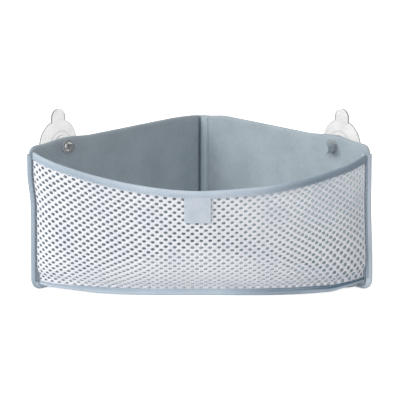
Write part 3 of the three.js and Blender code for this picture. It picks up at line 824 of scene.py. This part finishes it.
def cloth_point(length, rise):
    # the mouth and the foot lean out on the right
    across = across_at(length)
    before_end = 1 - eased(across, 0.86, 0.14)
    lean, roll = eased(across, 0.2, 0.5) * before_end, eased(across, 0.1, 0.5) * before_end
    out = MOUTH_LEAN * lean * max(rise - CLOTH_HEIGHT + MOUTH_LEAN_RISE, 0.0)
    out += FOOT_LEAN * roll * max(FOOT_LEAN_RISE - rise, 0.0)
    share = max(0.0, rise - SELVEDGE_RISE) / (CLOTH_HEIGHT - SELVEDGE_RISE)
    foot = mesh_foot(across)
    height = foot + min(rise, SELVEDGE_RISE) + share * (mouth_height(across) - foot - SELVEDGE_RISE)
    return front_point(across, height) + Vector((0.0, -out, 0.0))


def cloth_axes(length, rise):
    ahead, behind = min(length + AXIS_REACH, CLOTH_LENGTH), max(length - AXIS_REACH, 0.0)
    above, below = min(rise + AXIS_REACH, CLOTH_HEIGHT), max(rise - AXIS_REACH, 0.0)
    along = (cloth_point(ahead, rise) - cloth_point(behind, rise)).normalized()
    up = cloth_point(length, above) - cloth_point(length, below)
    out = along.cross(up).normalized()
    return along, out, out.cross(along).normalized()


# Open mesh: rounded strands between gaps, cut flat and laid on a surface
GAP_CORNERS = 8
GAP_LIP = 0.5
CUT_INSIDE = 1
CUT_NEARNESS = 1e-5


def open_mesh(outline, gaps):
    # points, triangles and whether each point is thin, for a flat cut; every gap has a lip and a thin edge
    flat = [Vector(place) for place in outline]
    thin = [True] * len(outline)
    gap_of, edges = {}, []
    for number, (u, v, wide, high) in enumerate(gaps):
        for lip in (GAP_LIP, 0.0):
            first = len(flat)
            for corner in range(GAP_CORNERS):
                turn = 2 * math.pi * (corner + 0.5) / GAP_CORNERS
                if not lip:
                    gap_of[len(flat)] = number
                aside, up = (wide / 2 + lip) * math.cos(turn), (high / 2 + lip) * math.sin(turn)
                flat.append(Vector((u + aside, v + up)))
                thin.append(not lip)
                edges.append((first + corner, first + (corner + 1) % GAP_CORNERS))
    outside = list(range(len(outline)))
    verts, _, tris, origin, _, _ = delaunay_2d_cdt(flat, edges, [outside], CUT_INSIDE, CUT_NEARNESS)
    source = [ids[0] if ids else None for ids in origin]
    kept = []
    for tri in tris:
        holes = {gap_of.get(source[i]) for i in tri}
        if len(holes) > 1 or None in holes:
            kept.append(list(tri))
    return verts, kept, [i is not None and thin[i] for i in source]


def thickened(name, verts, tris, thin, surface):
    points, uvs, front, back = [], [], {}, {}
    for i in sorted({i for tri in tris for i in tri}):
        middle, out = surface(*verts[i])
        front[i] = back[i] = len(points)
        uvs.append(verts[i])
        if thin[i]:
            points.append(middle)
            continue
        points.append(middle + out * MESH_HALF_THICKNESS)
        back[i] = len(points)
        points.append(middle - out * MESH_HALF_THICKNESS)
        uvs.append(verts[i])
    faces = []
    sides = set()
    for a, b, c in tris:
        faces.append([front[a], front[b], front[c]])
        if (back[a], back[b], back[c]) != (front[a], front[b], front[c]):
            faces.append([back[a], back[c], back[b]])
        sides.update([(a, b), (b, c), (c, a)])
    for a, b in sides:
        if (b, a) not in sides:
            wall = [front[b], front[a], back[a], back[b]]
            wall = [v for i, v in enumerate(wall) if v not in wall[:i]]
            if len(wall) > 2:
                faces.append(wall)
    return piece_from(name, points, faces, uvs)


# The front's gaps: rows and columns that close up at the foot and on the right, where the mesh is slack
GAP_LOW_HEIGHTS = (12.0, 43.0)
GAP_END_MARGIN = 5.5
NET_BORDER_STEP = 4.3


def row_levels(low_pitch, high_pitch, offset):
    # heights on the cloth of the rows of gaps, counted from one row at mid height
    def pitch(level):
        return low_pitch + (high_pitch - low_pitch) * eased(level, *GAP_LOW_HEIGHTS)
    above, below = [GAP_REFERENCE], [GAP_REFERENCE]
    for _ in range(GAP_ROWS):
        above.append(above[-1] + pitch(above[-1]))
        below.append(below[-1] - pitch(below[-1]))
    return [level + offset for level in below[:0:-1] + above]


def gap_columns():
    # places along the cloth half a pitch apart
    def step(length):
        across = across_at(length)
        share = (1.03 - 0.08 * eased(-across, 0.15, 0.3) + 0.05 * eased(-across, 0.7, 0.2)
                 - 0.18 * eased(across, 0.3, 0.35) + 0.09 * eased(across, 0.72, 0.2))
        return GAP_PITCH * share / 2
    right, left = [CLOTH_LENGTH / 2], [CLOTH_LENGTH / 2]
    while right[-1] < CLOTH_LENGTH - GAP_END_MARGIN:
        right.append(right[-1] + step(right[-1]))
    while left[-1] > GAP_END_MARGIN:
        left.append(left[-1] - step(left[-1]))
    return left[:0:-1] + right


def front_gaps():
    gaps = []
    columns = gap_columns()
    for row, levels in enumerate(zip(*(row_levels(*zone) for zone in GAP_ZONES))):
        for column in range(row % 2, len(columns), 2):
            across = across_at(columns[column])
            right, left = eased(across, 0.38, 0.46), eased(-across, 0.3, 0.35)
            level = left * levels[0] + (1 - left - right) * levels[1] + right * levels[2]
            if not GAP_MARGIN < level < CLOTH_HEIGHT - GAP_MARGIN:
                continue
            low = 1 - eased(level, *GAP_LOW_HEIGHTS)
            high = GAP_HEIGHT - 0.15 * left + 0.45 * right - 0.55 * low * (1 - right) + 0.55 * low * right
            place = Vector((column * 0.85, row * 2.3, 0.5))
            gaps.append((columns[column] + 0.25 * noise(place), level + 0.12 * noise(place * 1.3),
                         (GAP_WIDTH + 0.1 * right) * (1 + 0.08 * noise(place * 0.7)),
                         high * (1 + 0.08 * noise(place * 0.9))))
    return gaps


def border(length, height, step):
    across, up = int(length / step), int(height / step)
    points = [(length * i / across, 0.0) for i in range(across)]
    points += [(length, height * i / up) for i in range(up)]
    points += [(length * (1 - i / across), height) for i in range(across)]
    return points + [(0.0, height * (1 - i / up)) for i in range(up)]


def front_surface(length, rise):
    return cloth_point(length, rise), cloth_axes(length, rise)[1]


net_cut = open_mesh(border(CLOTH_LENGTH, CLOTH_HEIGHT, NET_BORDER_STEP), front_gaps())
net = thickened("front_net", *net_cut, front_surface)
settle(net, KNIT, "white_mesh", "front_mesh")
follow_both_wings(net)


# The seams that hold the mesh's ends to the wings' tapes; the left one's thread is painted dark as shade in
# the crease beside the tape, the right one's painted pale against the shade that falls there
SEAM_STITCH_SPACING = 2.9
SEAM_STITCH_RADIUS, SEAM_STITCH_LENGTH = 0.75, 3.1
SEAM_STITCH_ALONG = MESH_ALONG + 1.5
SEAM_STITCH_DEPTH = -TAPE_REACH - 0.15

for wing, side in SIDES.items():
    places = []
    height = mesh_foot(side) + 3.0
    while height < mouth_height(side) - 1.0:
        middle = on_soft_wing(side, SEAM_STITCH_ALONG, SEAM_STITCH_DEPTH, height)
        places.append((middle, UPWARD, wing_normal(side, -1)))
        height += SEAM_STITCH_SPACING
    seam = stitch_row(f"{wing}_side_seam", places, SEAM_STITCH_RADIUS, SEAM_STITCH_LENGTH)
    # painted shade in the left seam's dark thread, painted light in the right seam's pale thread
    settle(seam, SHADE_PAINTED_SEAM_THREAD if side == LEFT else LIGHT_PAINTED_SEAM_THREAD, "binding_tape")
    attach(seam, f"{wing}_wing")


# Tapes over the front's edges; toward is -1 for the mouth's, down the mesh, and 1 for the foot's, up it
FRONT_TAPE_HALF = MESH_HALF_THICKNESS + TAPE_REACH
FRONT_TAPE_THICKNESS = 0.5
FRONT_TAPE_PINCH = 0.2
FRONT_TAPE_STEP = 2.6
FRONT_TAPE_RIPPLE = 0.4
FRONT_STITCH_SPACING = 3.2
FRONT_STITCH_IN = 1.5
FRONT_STITCH_SINK = 0.2
# waist, roundness of the fold, stitch line in from the edge
FRONT_TAPE_FORMS = {-1: (0.0, 1.5, 1.5), 1: (0.45, 2.4, 1.2)}


def edge_frame(length, rise):
    along, out, up = cloth_axes(length, rise)
    if rise == 0.0:
        up = (cloth_point(length, BASE_TAPE_WIDTH - TAPE_REACH) - cloth_point(length, rise)).normalized()
        out = along.cross(up).normalized()
    return cloth_point(length, rise), along, out, up


def tape_share(across, toward):
    # the base tape narrows to both ends, where it turns under
    if toward < 0:
        return 1.0
    return 1 - 0.5 * eased(-across, 0.62, 0.3) - 0.5 * eased(across, 0.74, 0.26)


def tape_painted_shading(across, toward, shares):
    # painted light and shade: the mouth tape's is heaviest across the middle of its legs and towards its
    # ends, most on the right, where it lies in shade; the base tape's upper part is painted dark in the shade
    # under the mesh's bulge, more so to the right, and its lower lip is painted pale where light catches it
    if toward < 0:
        tone = 0.105 + 0.21 * eased(-across, 0.3, 0.4) + 0.56 * eased(across, 0.2, 0.5)
        return [tone + 0.11 * smooth_share(1 - abs(share - 0.5) / 0.35) for share in shares]
    # painted shade on the base tape's upper part under the mesh's bulge, heaviest at the right end; its lower
    # lip painted pale
    right_half, right_end_shade = eased(across, 0.05, 0.45), eased(across, 0.52, 0.4)
    tone = 0.21 + 0.16 * eased(-across, 0.2, 0.4) + 0.53 * right_half + 0.3 * right_end_shade
    lip = 0.175 + 0.4 * right_half - 0.35 * right_end_shade
    return [lip + (tone - lip) * eased(share, 0.2 - 0.14 * right_end_shade, 0.25) for share in shares]


def front_tape(name, rise, width, toward):
    waist, fold_round, stitch_in = FRONT_TAPE_FORMS[toward]
    section = tape_section(FRONT_TAPE_HALF, TAPE_REACH, width, FRONT_TAPE_THICKNESS, fold_round, stitch_in,
                           FRONT_TAPE_PINCH, waist)
    count = int(CLOTH_LENGTH / FRONT_TAPE_STEP)
    lengths = [TAPE_REACH + (CLOTH_LENGTH - 2 * TAPE_REACH) * step / count for step in range(count + 1)]
    rings, painted_shading = [], []
    for length in lengths:
        edge, along, out, up = edge_frame(length, rise)
        across = across_at(length)
        narrow = tape_share(across, toward)
        wave = ripple(length) * FRONT_TAPE_RIPPLE
        ring = []
        for aside, down in section:
            reach = down * narrow if down > 0 else down
            ring.append(edge + out * aside + up * toward * (reach + wave * max(down, 0.0) / width))
        rings.append(ring)
        painted_shading += tape_painted_shading(across, toward, [down / width for _, down in section])
    tape = swept_tape(name, section, rings, lengths, painted_shading)
    stitches = []
    rows = int(CLOTH_LENGTH / FRONT_STITCH_SPACING)
    stitch_out = FRONT_TAPE_HALF - waist - FRONT_STITCH_SINK
    for step in range(1, rows):
        length = CLOTH_LENGTH * step / rows
        edge, along, out, up = edge_frame(length, rise)
        down = (width - TAPE_REACH - FRONT_STITCH_IN) * tape_share(across_at(length), toward)
        for face in (-1, 1):
            stitches.append((edge + up * toward * down + out * face * stitch_out, along, out * face))
    return tape, stitch_row(name.replace("tape", "stitching"), stitches)


for name, node, rise, width, toward in (
        ("mouth_tape", "mouth_binding", CLOTH_HEIGHT, MOUTH_TAPE_WIDTH, -1),
        ("base_front_tape", "base_front_binding", 0.0, BASE_TAPE_WIDTH, 1)):
    tape, stitching = front_tape(name, rise, width, toward)
    settle(tape, TAPE, "binding_tape", node)
    settle(stitching, THREAD, "binding_tape")
    follow_both_wings(tape)
    follow_both_wings(stitching)


# The base: one flat cut of the same mesh, split into rings about the corner
BASE_HEIGHT = 4.5
BASE_SIDE = 1.3
BASE_FRONT_INSET = 2.3
BASE_FRONT_STEPS = 70
BASE_SIDE_START, BASE_SIDE_STEP, BASE_SIDE_STEPS = 8.4, 4.2, 51
BASE_CORNER_ALONGS, BASE_CORNER_DEPTH = (1.8, 4.0, 7.4), 0.2
BASE_CORNER = [(1.7, 1.5), (1.5, 3.8), (-1.5, 3.8), (-1.7, 1.5)]
BASE_GAP_START = -14.0
BASE_GAP_ROWS = 60
BASE_GAP_COLUMNS = 20
BASE_GAP_FROM_WING = 8.5
BASE_GAP_FROM_FRONT = 6.5
BASE_RINGS = [0.0, 44.0, 56.0, 70.0, 86.0, 105.0, 128.0, 156.0, 186.0, 240.0]


def base_side(side):
    places = [on_soft_wing(side, along, BASE_CORNER_DEPTH, BASE_HEIGHT) for along in BASE_CORNER_ALONGS]
    for step in range(BASE_SIDE_STEPS):
        places.append(on_soft_wing(side, BASE_SIDE_START + BASE_SIDE_STEP * step, -BASE_SIDE, BASE_HEIGHT))
    return [(place.x, place.y - CORNER_Y) for place in places]


def base_outline():
    front = []
    for step in range(1, BASE_FRONT_STEPS):
        length = CLOTH_LENGTH * (1 - step / BASE_FRONT_STEPS)
        place = cloth_point(length, 0.0) - cloth_axes(length, 0.0)[1] * BASE_FRONT_INSET
        front.append((place.x, place.y - CORNER_Y))
    return base_side(LEFT) + front[::-1] + base_side(RIGHT)[::-1] + BASE_CORNER


def base_gaps():
    gaps = []
    for row in range(BASE_GAP_ROWS):
        y = BASE_GAP_START - row * GAP_ROW_PITCH
        for column in range(-BASE_GAP_COLUMNS, BASE_GAP_COLUMNS + 1):
            x = (column + 0.5 * (row % 2)) * GAP_PITCH
            from_wing = -(y * COS_TURN + abs(x) * COS_TURN)
            across = min(abs(x) / front_point(1, 0.0).x, 1.0)
            from_front = y + CORNER_Y - front_point(across, 0.0).y
            if from_wing > BASE_GAP_FROM_WING and from_front > BASE_GAP_FROM_FRONT:
                place = Vector((x * 0.21, y * 0.33, 4.1))
                gaps.append((x + 0.2 * noise(place), y + 0.15 * noise(place * 1.3), GAP_WIDTH, GAP_HEIGHT))
    return gaps


def base_surface(x, y):
    return Vector((x, CORNER_Y + y, BASE_HEIGHT)), UPWARD


base_verts, base_tris, base_thin = open_mesh(base_outline(), base_gaps())
for ring, (near, far) in enumerate(zip(BASE_RINGS, BASE_RINGS[1:])):
    own = []
    for tri in base_tris:
        middle = sum((Vector(base_verts[i]) for i in tri), Vector((0.0, 0.0))) / 3
        if near <= middle.length < far:
            own.append(tri)
    piece = thickened(f"base_net_{ring + 1}", base_verts, own, base_thin, base_surface)
    settle(piece, KNIT, "white_mesh", "base_mesh")
    follow_both_wings(piece)


# Corner: the bound seam allowance inside and the covering tape outside
CORNER_LOW = 1.5
CORNER_STEP = WING_TAPE_WIDTH + 0.4
CORNER_HIGH = WING_HEIGHT - CORNER_DIP - 1.0
CORNER_STITCHES = 40
CORNER_STITCH_LOW = CORNER_STEP + 2.0
CORNER_STITCH_SPACING = 3.15
SEAM_STRIP_LOW = BASE_HEIGHT + 0.7
SEAM_STRIP_START, SEAM_STRIP_END, SEAM_STRIP_FOOT_END = 2.0, 11.0, 7.6
SEAM_STRIP_BACK = -0.1
SEAM_STRIP_STEPS = 12
SEAM_STITCH_SHARE = 0.78
BACK_TAPE_INNER, BACK_TAPE_OUTER = WING_THICKNESS + 0.32, WING_THICKNESS + 1.1
BACK_TAPE_ARM, BACK_TAPE_FOOT_ARM = 14.0, 7.5
BACK_TAPE_EDGE_DROPS = {0: 0.5, 1: 0.2}
BACK_TAPE_STEPS = 6
BACK_TAPE_PAINTED_SHADING = 0.24
BACK_STITCH_ALONG = 11.4
BACK_STITCH_DEPTH = WING_THICKNESS + 1.0


def upright_strip(name, outline, low):
    # a closed flat outline swept upwards, narrower below the step, where the wings' bottom tapes lie
    heights = [low, low + 0.2, low + 0.7, (low + CORNER_STEP) / 2, CORNER_STEP - 0.3, CORNER_STEP]
    count = int((CORNER_HIGH - CORNER_STEP) / TAPE_STEP)
    heights += [CORNER_STEP + (CORNER_HIGH - CORNER_STEP - 0.7) * i / count for i in range(1, count)]
    heights += [CORNER_HIGH - 0.7, CORNER_HIGH - 0.2, CORNER_HIGH]
    rings = [outline(height) for height in heights]
    uvs = [(height, arc) for height, ring in zip(heights, rings) for arc in running_lengths(ring)]
    return swept(name, rings, uvs)


def corner_stitches(name, wing, along, depth, face):
    side = SIDES[wing]
    places = []
    for step in range(CORNER_STITCHES):
        height = CORNER_STITCH_LOW + step * CORNER_STITCH_SPACING
        places.append((on_wing(side, along, depth, height), UPWARD, wing_normal(side, face)))
    stitching = stitch_row(name, places)
    settle(stitching, THREAD, "binding_tape")
    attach(stitching, f"{wing}_wing")


def seam_strip_outline(height):
    run = (SEAM_STRIP_END if height >= CORNER_STEP else SEAM_STRIP_FOOT_END) - SEAM_STRIP_START
    run += 0.25 * noise(Vector((height / 14.0, 1.3, 0.0)))
    top, back = [], []
    for step in range(SEAM_STRIP_STEPS + 1):
        share = step / SEAM_STRIP_STEPS
        rise = 1.15 * (1 - abs(2 * share - 1) ** 6) ** 0.5
        if share > 0.5:
            rise = 1.15 - smooth_share(2 * share - 1)
        stitch = 0.15 * max(0.0, 1 - abs(share - SEAM_STITCH_SHARE) / 0.14)
        along = SEAM_STRIP_START + run * share
        top.append(on_wing(RIGHT, along, SEAM_STRIP_BACK - max(rise - stitch, 0.06), height))
        back.append(on_wing(RIGHT, along, SEAM_STRIP_BACK, height))
    return top + back[::-1]


def back_tape_outline(height):
    arm = BACK_TAPE_ARM if height >= CORNER_STEP else BACK_TAPE_FOOT_ARM
    arm += 0.2 * noise(Vector((height / 12.0, 8.1, 0.0)))
    arms = {LEFT: [], RIGHT: []}
    for side, pairs in arms.items():
        for step in range(BACK_TAPE_STEPS):
            along = arm * (1 - step / BACK_TAPE_STEPS)
            lift = BACK_TAPE_OUTER - BACK_TAPE_EDGE_DROPS.get(step, 0.0)
            pairs.append((on_wing(side, along, lift, height), on_wing(side, along, BACK_TAPE_INNER, height)))
    corner = Vector((0.0, CORNER_Y, height))
    bend = []
    for turn in QUARTER_TURN:
        toward = Vector((math.cos(math.pi * 0.75 - turn), math.sin(math.pi * 0.75 - turn), 0.0))
        bend.append((corner + toward * BACK_TAPE_OUTER, corner + toward * BACK_TAPE_INNER))
    pairs = arms[LEFT] + bend + arms[RIGHT][::-1]
    return [outside for outside, _ in pairs] + [inside for _, inside in reversed(pairs)]


seam_strip = upright_strip("corner_seam_tape", seam_strip_outline, SEAM_STRIP_LOW)
give_painted_shading(seam_strip, [0.0] * len(seam_strip.data.vertices))
settle(seam_strip, SEAM_TAPE, "binding_tape", "corner_seam_binding")
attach(seam_strip, "right_wing")
corner_stitches("corner_seam_stitching", "right",
                SEAM_STRIP_START + (SEAM_STRIP_END - SEAM_STRIP_START) * SEAM_STITCH_SHARE,
                SEAM_STRIP_BACK - 0.45, -1)

back_tape = upright_strip("corner_cover_tape", back_tape_outline, CORNER_LOW)
# an even share of the painted shade colour over the back tape
give_painted_shading(back_tape, [BACK_TAPE_PAINTED_SHADING] * len(back_tape.data.vertices))
settle(back_tape, TAPE, "binding_tape", "corner_back_tape")
follow_both_wings(back_tape)
for wing in SIDES:
    corner_stitches(f"{wing}_cover_stitching", wing, BACK_STITCH_ALONG, BACK_STITCH_DEPTH, 1)


# Suction cups and eyelets, turned about the depth of the wing; profiles are pairs of a radius and a depth
EYELET_FLANGE = [(4.45, -0.9), (4.8, -1.22), (5.6, -1.3), (6.5, -1.2), (6.95, -0.85), (7.0, -0.5),
                 (6.85, -0.3), (5.45, -0.3), (5.4, 0.0)]
EYELET_BACK = [(radius, WING_THICKNESS - depth) for radius, depth in reversed(EYELET_FLANGE)]
EYELET_PROFILE = EYELET_FLANGE + EYELET_BACK + [(4.4, 5.5), (4.4, -0.5), EYELET_FLANGE[0]]
CUP_PROFILE = [(0.0, -5.0), (2.6, -4.98), (4.3, -4.75), (5.6, -4.1), (6.4, -3.2), (6.6, -2.4), (6.45, -1.85),
               (6.0, -1.62), (4.4, -1.6), (4.1, -1.3), (4.1, 6.3), (4.4, 6.6), (9.2, 6.62), (9.7, 6.85),
               (9.85, 7.4), (9.9, 8.3), (10.5, 8.8), (12.2, 9.05), (12.9, 8.85), (13.9, 8.85), (14.6, 9.25),
               (15.8, 9.75), (18.2, 10.4), (20.6, 11.3), (22.6, 12.1), (24.0, 12.7), (24.5, 13.1),
               (24.5, 13.5), (24.2, 13.8), (22.7, 13.8), (21.4, 13.4), (19.0, 12.75), (16.0, 12.1),
               (12.0, 11.5), (7.0, 11.15), (0.0, 11.1)]
EYELET_SIDES, CUP_SIDES = 48, 64
SMOOTH_ANGLE = math.radians(40)
DISC_RADIUS = 23.6
TAB_HALF = 8.5
TAB_TOP = 35.0
TAB_FILLET = 2.6
TAB_FILLET_STEPS = 8
TAB_FACE, TAB_BACK = 11.8, 13.75
TAB_EDGE = 0.45
# where the walls lie that are seen through their length, and how much painted shade they get for the dark
# outline that clear walls show edge-on
RIM_REACH, TAB_WALL_HEIGHT = 23.9, 24.2
BOSS_REACH, BOSS_WALL_SHADE = (9.0, 11.5), 0.8
RING_REACH, RING_DEPTH, RING_WALL_SHADE = (12.3, 14.5), 9.5, 0.25


def turned(name, profile, steps):
    bpy.ops.mesh.primitive_plane_add(size=MM, location=(0, 0, 0))
    obj = bpy.context.object
    obj.name = obj.data.name = name
    bpy.ops.object.mode_set(mode="EDIT")
    bpy.ops.mesh.select_all(action="SELECT")
    bpy.ops.mesh.merge(type="CENTER")
    bpy.ops.transform.translate(value=(profile[0][0] * MM, profile[0][1] * MM, 0))
    for (radius, depth), (after, deeper) in zip(profile, profile[1:]):
        step = ((after - radius) * MM, (deeper - depth) * MM, 0)
        bpy.ops.mesh.extrude_region_move(TRANSFORM_OT_translate={"value": step})
    bpy.ops.mesh.select_all(action="SELECT")
    bpy.ops.mesh.spin(steps=steps, angle=2 * math.pi, center=(0, 0, 0), axis=(0, 1, 0))
    bpy.ops.mesh.select_all(action="SELECT")
    bpy.ops.mesh.remove_doubles(threshold=1e-6)
    bpy.ops.mesh.normals_make_consistent(inside=False)
    bpy.ops.object.mode_set(mode="OBJECT")
    return obj


def set_on_wing(obj, side):
    # the turned shape's own Y is the depth of the wing; X runs along it and Z stays up
    for vertex in obj.data.vertices:
        x, depth, z = vertex.co / MM
        vertex.co = on_wing(side, CUP_ALONG + x, depth, CUP_HEIGHT + z) * MM
    if side == LEFT:
        obj.data.flip_normals()
    select_only(obj)
    bpy.ops.object.shade_smooth_by_angle(angle=SMOOTH_ANGLE)


def tab_outline():
    tip = TAB_TOP - TAB_HALF
    fillet_x = TAB_HALF + TAB_FILLET
    fillet_z = math.sqrt((DISC_RADIUS + TAB_FILLET) ** 2 - fillet_x ** 2)
    touch = math.atan2(-fillet_z, -fillet_x) + 2 * math.pi
    right = [(0.55 * fillet_x * DISC_RADIUS / (DISC_RADIUS + TAB_FILLET), 0.94 * DISC_RADIUS)]
    for step in range(TAB_FILLET_STEPS + 1):
        turn = touch + (math.pi - touch) * step / TAB_FILLET_STEPS
        right.append((fillet_x + TAB_FILLET * math.cos(turn), fillet_z + TAB_FILLET * math.sin(turn)))
    right += [(TAB_HALF * math.cos(turn), tip + TAB_HALF * math.sin(turn)) for turn in QUARTER_TURN]
    return right + [(-x, z) for x, z in reversed(right[:-1])]


def cup_tab():
    outline = tab_outline()
    points = [Vector((x, depth, z)) for depth in (TAB_FACE, TAB_BACK) for x, z in outline]
    size = len(outline)
    faces = [list(range(size)), list(range(2 * size - 1, size - 1, -1))]
    faces += [[i, size + i, size + (i + 1) % size, (i + 1) % size] for i in range(size)]
    tab = piece_from("pull_tab", points, faces)
    apply_modifier(tab, "BEVEL", width=TAB_EDGE * MM, segments=3, limit_method="ANGLE",
                   angle_limit=math.radians(60))
    return tab


def mark_painted_wall_shade(cup):
    # painted shade on the rim and the tab's outline, the boss in the middle and the ring round it
    wall = cup.data.attributes.new("wall", "FLOAT", "FACE")
    for polygon in cup.data.polygons:
        x, depth, z = polygon.center / MM
        reach = math.hypot(x, z)
        facing = abs(polygon.normal.y)
        if facing < 0.9 and (reach > RIM_REACH or z > TAB_WALL_HEIGHT):
            wall.data[polygon.index].value = 1.0
        elif facing < 0.6 and BOSS_REACH[0] < reach < BOSS_REACH[1]:
            wall.data[polygon.index].value = BOSS_WALL_SHADE
        elif depth < RING_DEPTH and RING_REACH[0] < reach < RING_REACH[1]:
            wall.data[polygon.index].value = RING_WALL_SHADE


for wing, side in SIDES.items():
    ring = turned(f"{wing}_eyelet_ring", EYELET_PROFILE, EYELET_SIDES)
    set_on_wing(ring, side)
    settle(ring, EYELET, "eyelet_plastic", f"{wing}_cup_eyelet")
    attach(ring, f"{wing}_wing")
    cup = turned(f"{wing}_clear_cup", CUP_PROFILE, CUP_SIDES)
    tab = cup_tab()
    apply_modifier(cup, "BOOLEAN", object=tab, operation="UNION", solver="EXACT")
    bpy.data.objects.remove(tab)
    mark_painted_wall_shade(cup)
    set_on_wing(cup, side)
    settle(cup, PVC, "clear_pvc", f"{wing}_suction_cup")
    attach(cup, f"{wing}_cup")


# The blank label hangs under the mouth tape
LABEL_ASIDE = -0.7
LABEL_GRID = 24
LABEL_CORNER = 2.2
LABEL_THICKNESS = 0.55
LABEL_BEAD, LABEL_BEAD_IN = 0.12, 0.9
LABEL_TUCK, LABEL_TUCK_SHARE = 0.8, 0.05
LABEL_SMOOTH_ANGLE = math.radians(50)


def label_place(across, up, wide, tall):
    # rounded lower corners, a bead round the rim, a slight curl, and the top edge tucked up under the tape
    x, z = across * wide, up * tall
    corner_x, corner_z = wide / 2 - LABEL_CORNER, tall / 2 - LABEL_CORNER
    over_x, over_z = abs(x) - corner_x, -corner_z - z
    if over_x > 0 and over_z > 0:
        pull = max(over_x, over_z) / math.hypot(over_x, over_z)
        x = math.copysign(corner_x + over_x * pull, x)
        z = -corner_z - over_z * pull
    drop = (tall / 2 - z) / tall
    rim = min(wide / 2 - abs(x), z + tall / 2)
    lift = LABEL_BEAD * smooth_share(1 - abs(rim - LABEL_BEAD_IN) / LABEL_BEAD_IN)
    curl = 0.15 * math.sin(math.pi * drop) + 0.1 * (x / wide) ** 2 * drop
    z += LABEL_TUCK * max(0.0, 1 - drop / LABEL_TUCK_SHARE)
    return Vector((x + LABEL_ASIDE, -curl - lift, z))


def hanging_label():
    low, high = (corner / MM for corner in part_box("label"))
    bpy.ops.mesh.primitive_grid_add(x_subdivisions=LABEL_GRID, y_subdivisions=LABEL_GRID, size=1.0,
                                    location=(0, 0, 0), rotation=(math.pi / 2, 0, 0))
    label = bpy.context.object
    label.name = label.data.name = "blank_label"
    bpy.ops.object.transform_apply(location=True, rotation=True, scale=True)
    for vertex in label.data.vertices:
        place = label_place(vertex.co.x, vertex.co.z, high.x - low.x, high.z - low.z)
        vertex.co = (place + (low + high) / 2) * MM
    apply_modifier(label, "SOLIDIFY", thickness=LABEL_THICKNESS * MM, offset=0.0)
    bpy.ops.object.shade_smooth_by_angle(angle=LABEL_SMOOTH_ANGLE)
    return label


label = hanging_label()
settle(label, FILM, "label_film", "label")
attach(label, "label")


# Studio: a pale floor, a soft key from the left, a weak fill, a weak light from behind, a white surround
WHITE = (1.0, 1.0, 1.0, 1.0)
AMBIENT = 0.365
FLOOR_SIZE = 40.0
FLOOR_LEVEL = -0.0005
FLOOR_GLOW = 0.8


def shown_rays(tree):
    # 1 for rays that show a thing to the camera: straight, mirrored or through something clear
    rays = add(tree, "ShaderNodeLightPath").outputs
    shown = rays["Is Camera Ray"]
    for kind in ("Is Glossy Ray", "Is Transmission Ray"):
        shown = add(tree, "ShaderNodeMath", {0: shown, 1: rays[kind]}, operation="MAXIMUM").outputs[0]
    return shown


def white_surround():
    world = bpy.data.worlds.new("studio_white")
    bpy.context.scene.world = world
    world.use_nodes = True
    tree = world.node_tree
    tree.nodes.clear()
    strength = add(tree, "ShaderNodeMapRange", {"Value": shown_rays(tree), "To Min": AMBIENT, "To Max": 1.0})
    light = add(tree, "ShaderNodeBackground", {"Color": WHITE, "Strength": strength.outputs["Result"]})
    add(tree, "ShaderNodeOutputWorld", {"Surface": light.outputs[0]})


def pale_floor():
    bpy.ops.mesh.primitive_plane_add(size=FLOOR_SIZE, location=(0, 0, FLOOR_LEVEL))
    floor = bpy.context.object
    floor.name = "studio_floor"
    material, tree = new_material("pale_paper")
    glow = add(tree, "ShaderNodeMath", {0: shown_rays(tree), 1: FLOOR_GLOW}, operation="MULTIPLY")
    surfaced(material, {"Base Color": linear("#f4f4f4"), "Roughness": 0.9, "Emission Color": WHITE,
                        "Emission Strength": glow.outputs[0]})
    floor.data.materials.append(material)


def soft_lamp(name, place, aim, size, power):
    data = bpy.data.lights.new(name, "AREA")
    data.shape = "DISK"
    data.size = size
    data.energy = power
    lamp = bpy.data.objects.new(name, data)
    bpy.context.scene.collection.objects.link(lamp)
    lamp.location = place
    lamp.rotation_mode = "QUATERNION"
    lamp.rotation_quaternion = (Vector(aim) - Vector(place)).to_track_quat("-Z", "Y")


white_surround()
pale_floor()
soft_lamp("key_left", place=(-2.3, -1.3, 1.2), aim=(0, 0, 0.07), size=1.4, power=38.5)
soft_lamp("front_left", place=(-0.7, -2.2, 1.3), aim=(0, 0, 0.07), size=1.2, power=10.0)
soft_lamp("top_back", place=(0.2, 0.7, 2.0), aim=(0, 0, 0.1), size=1.2, power=7.5)

bpy.context.scene.view_settings.view_transform = "Standard"
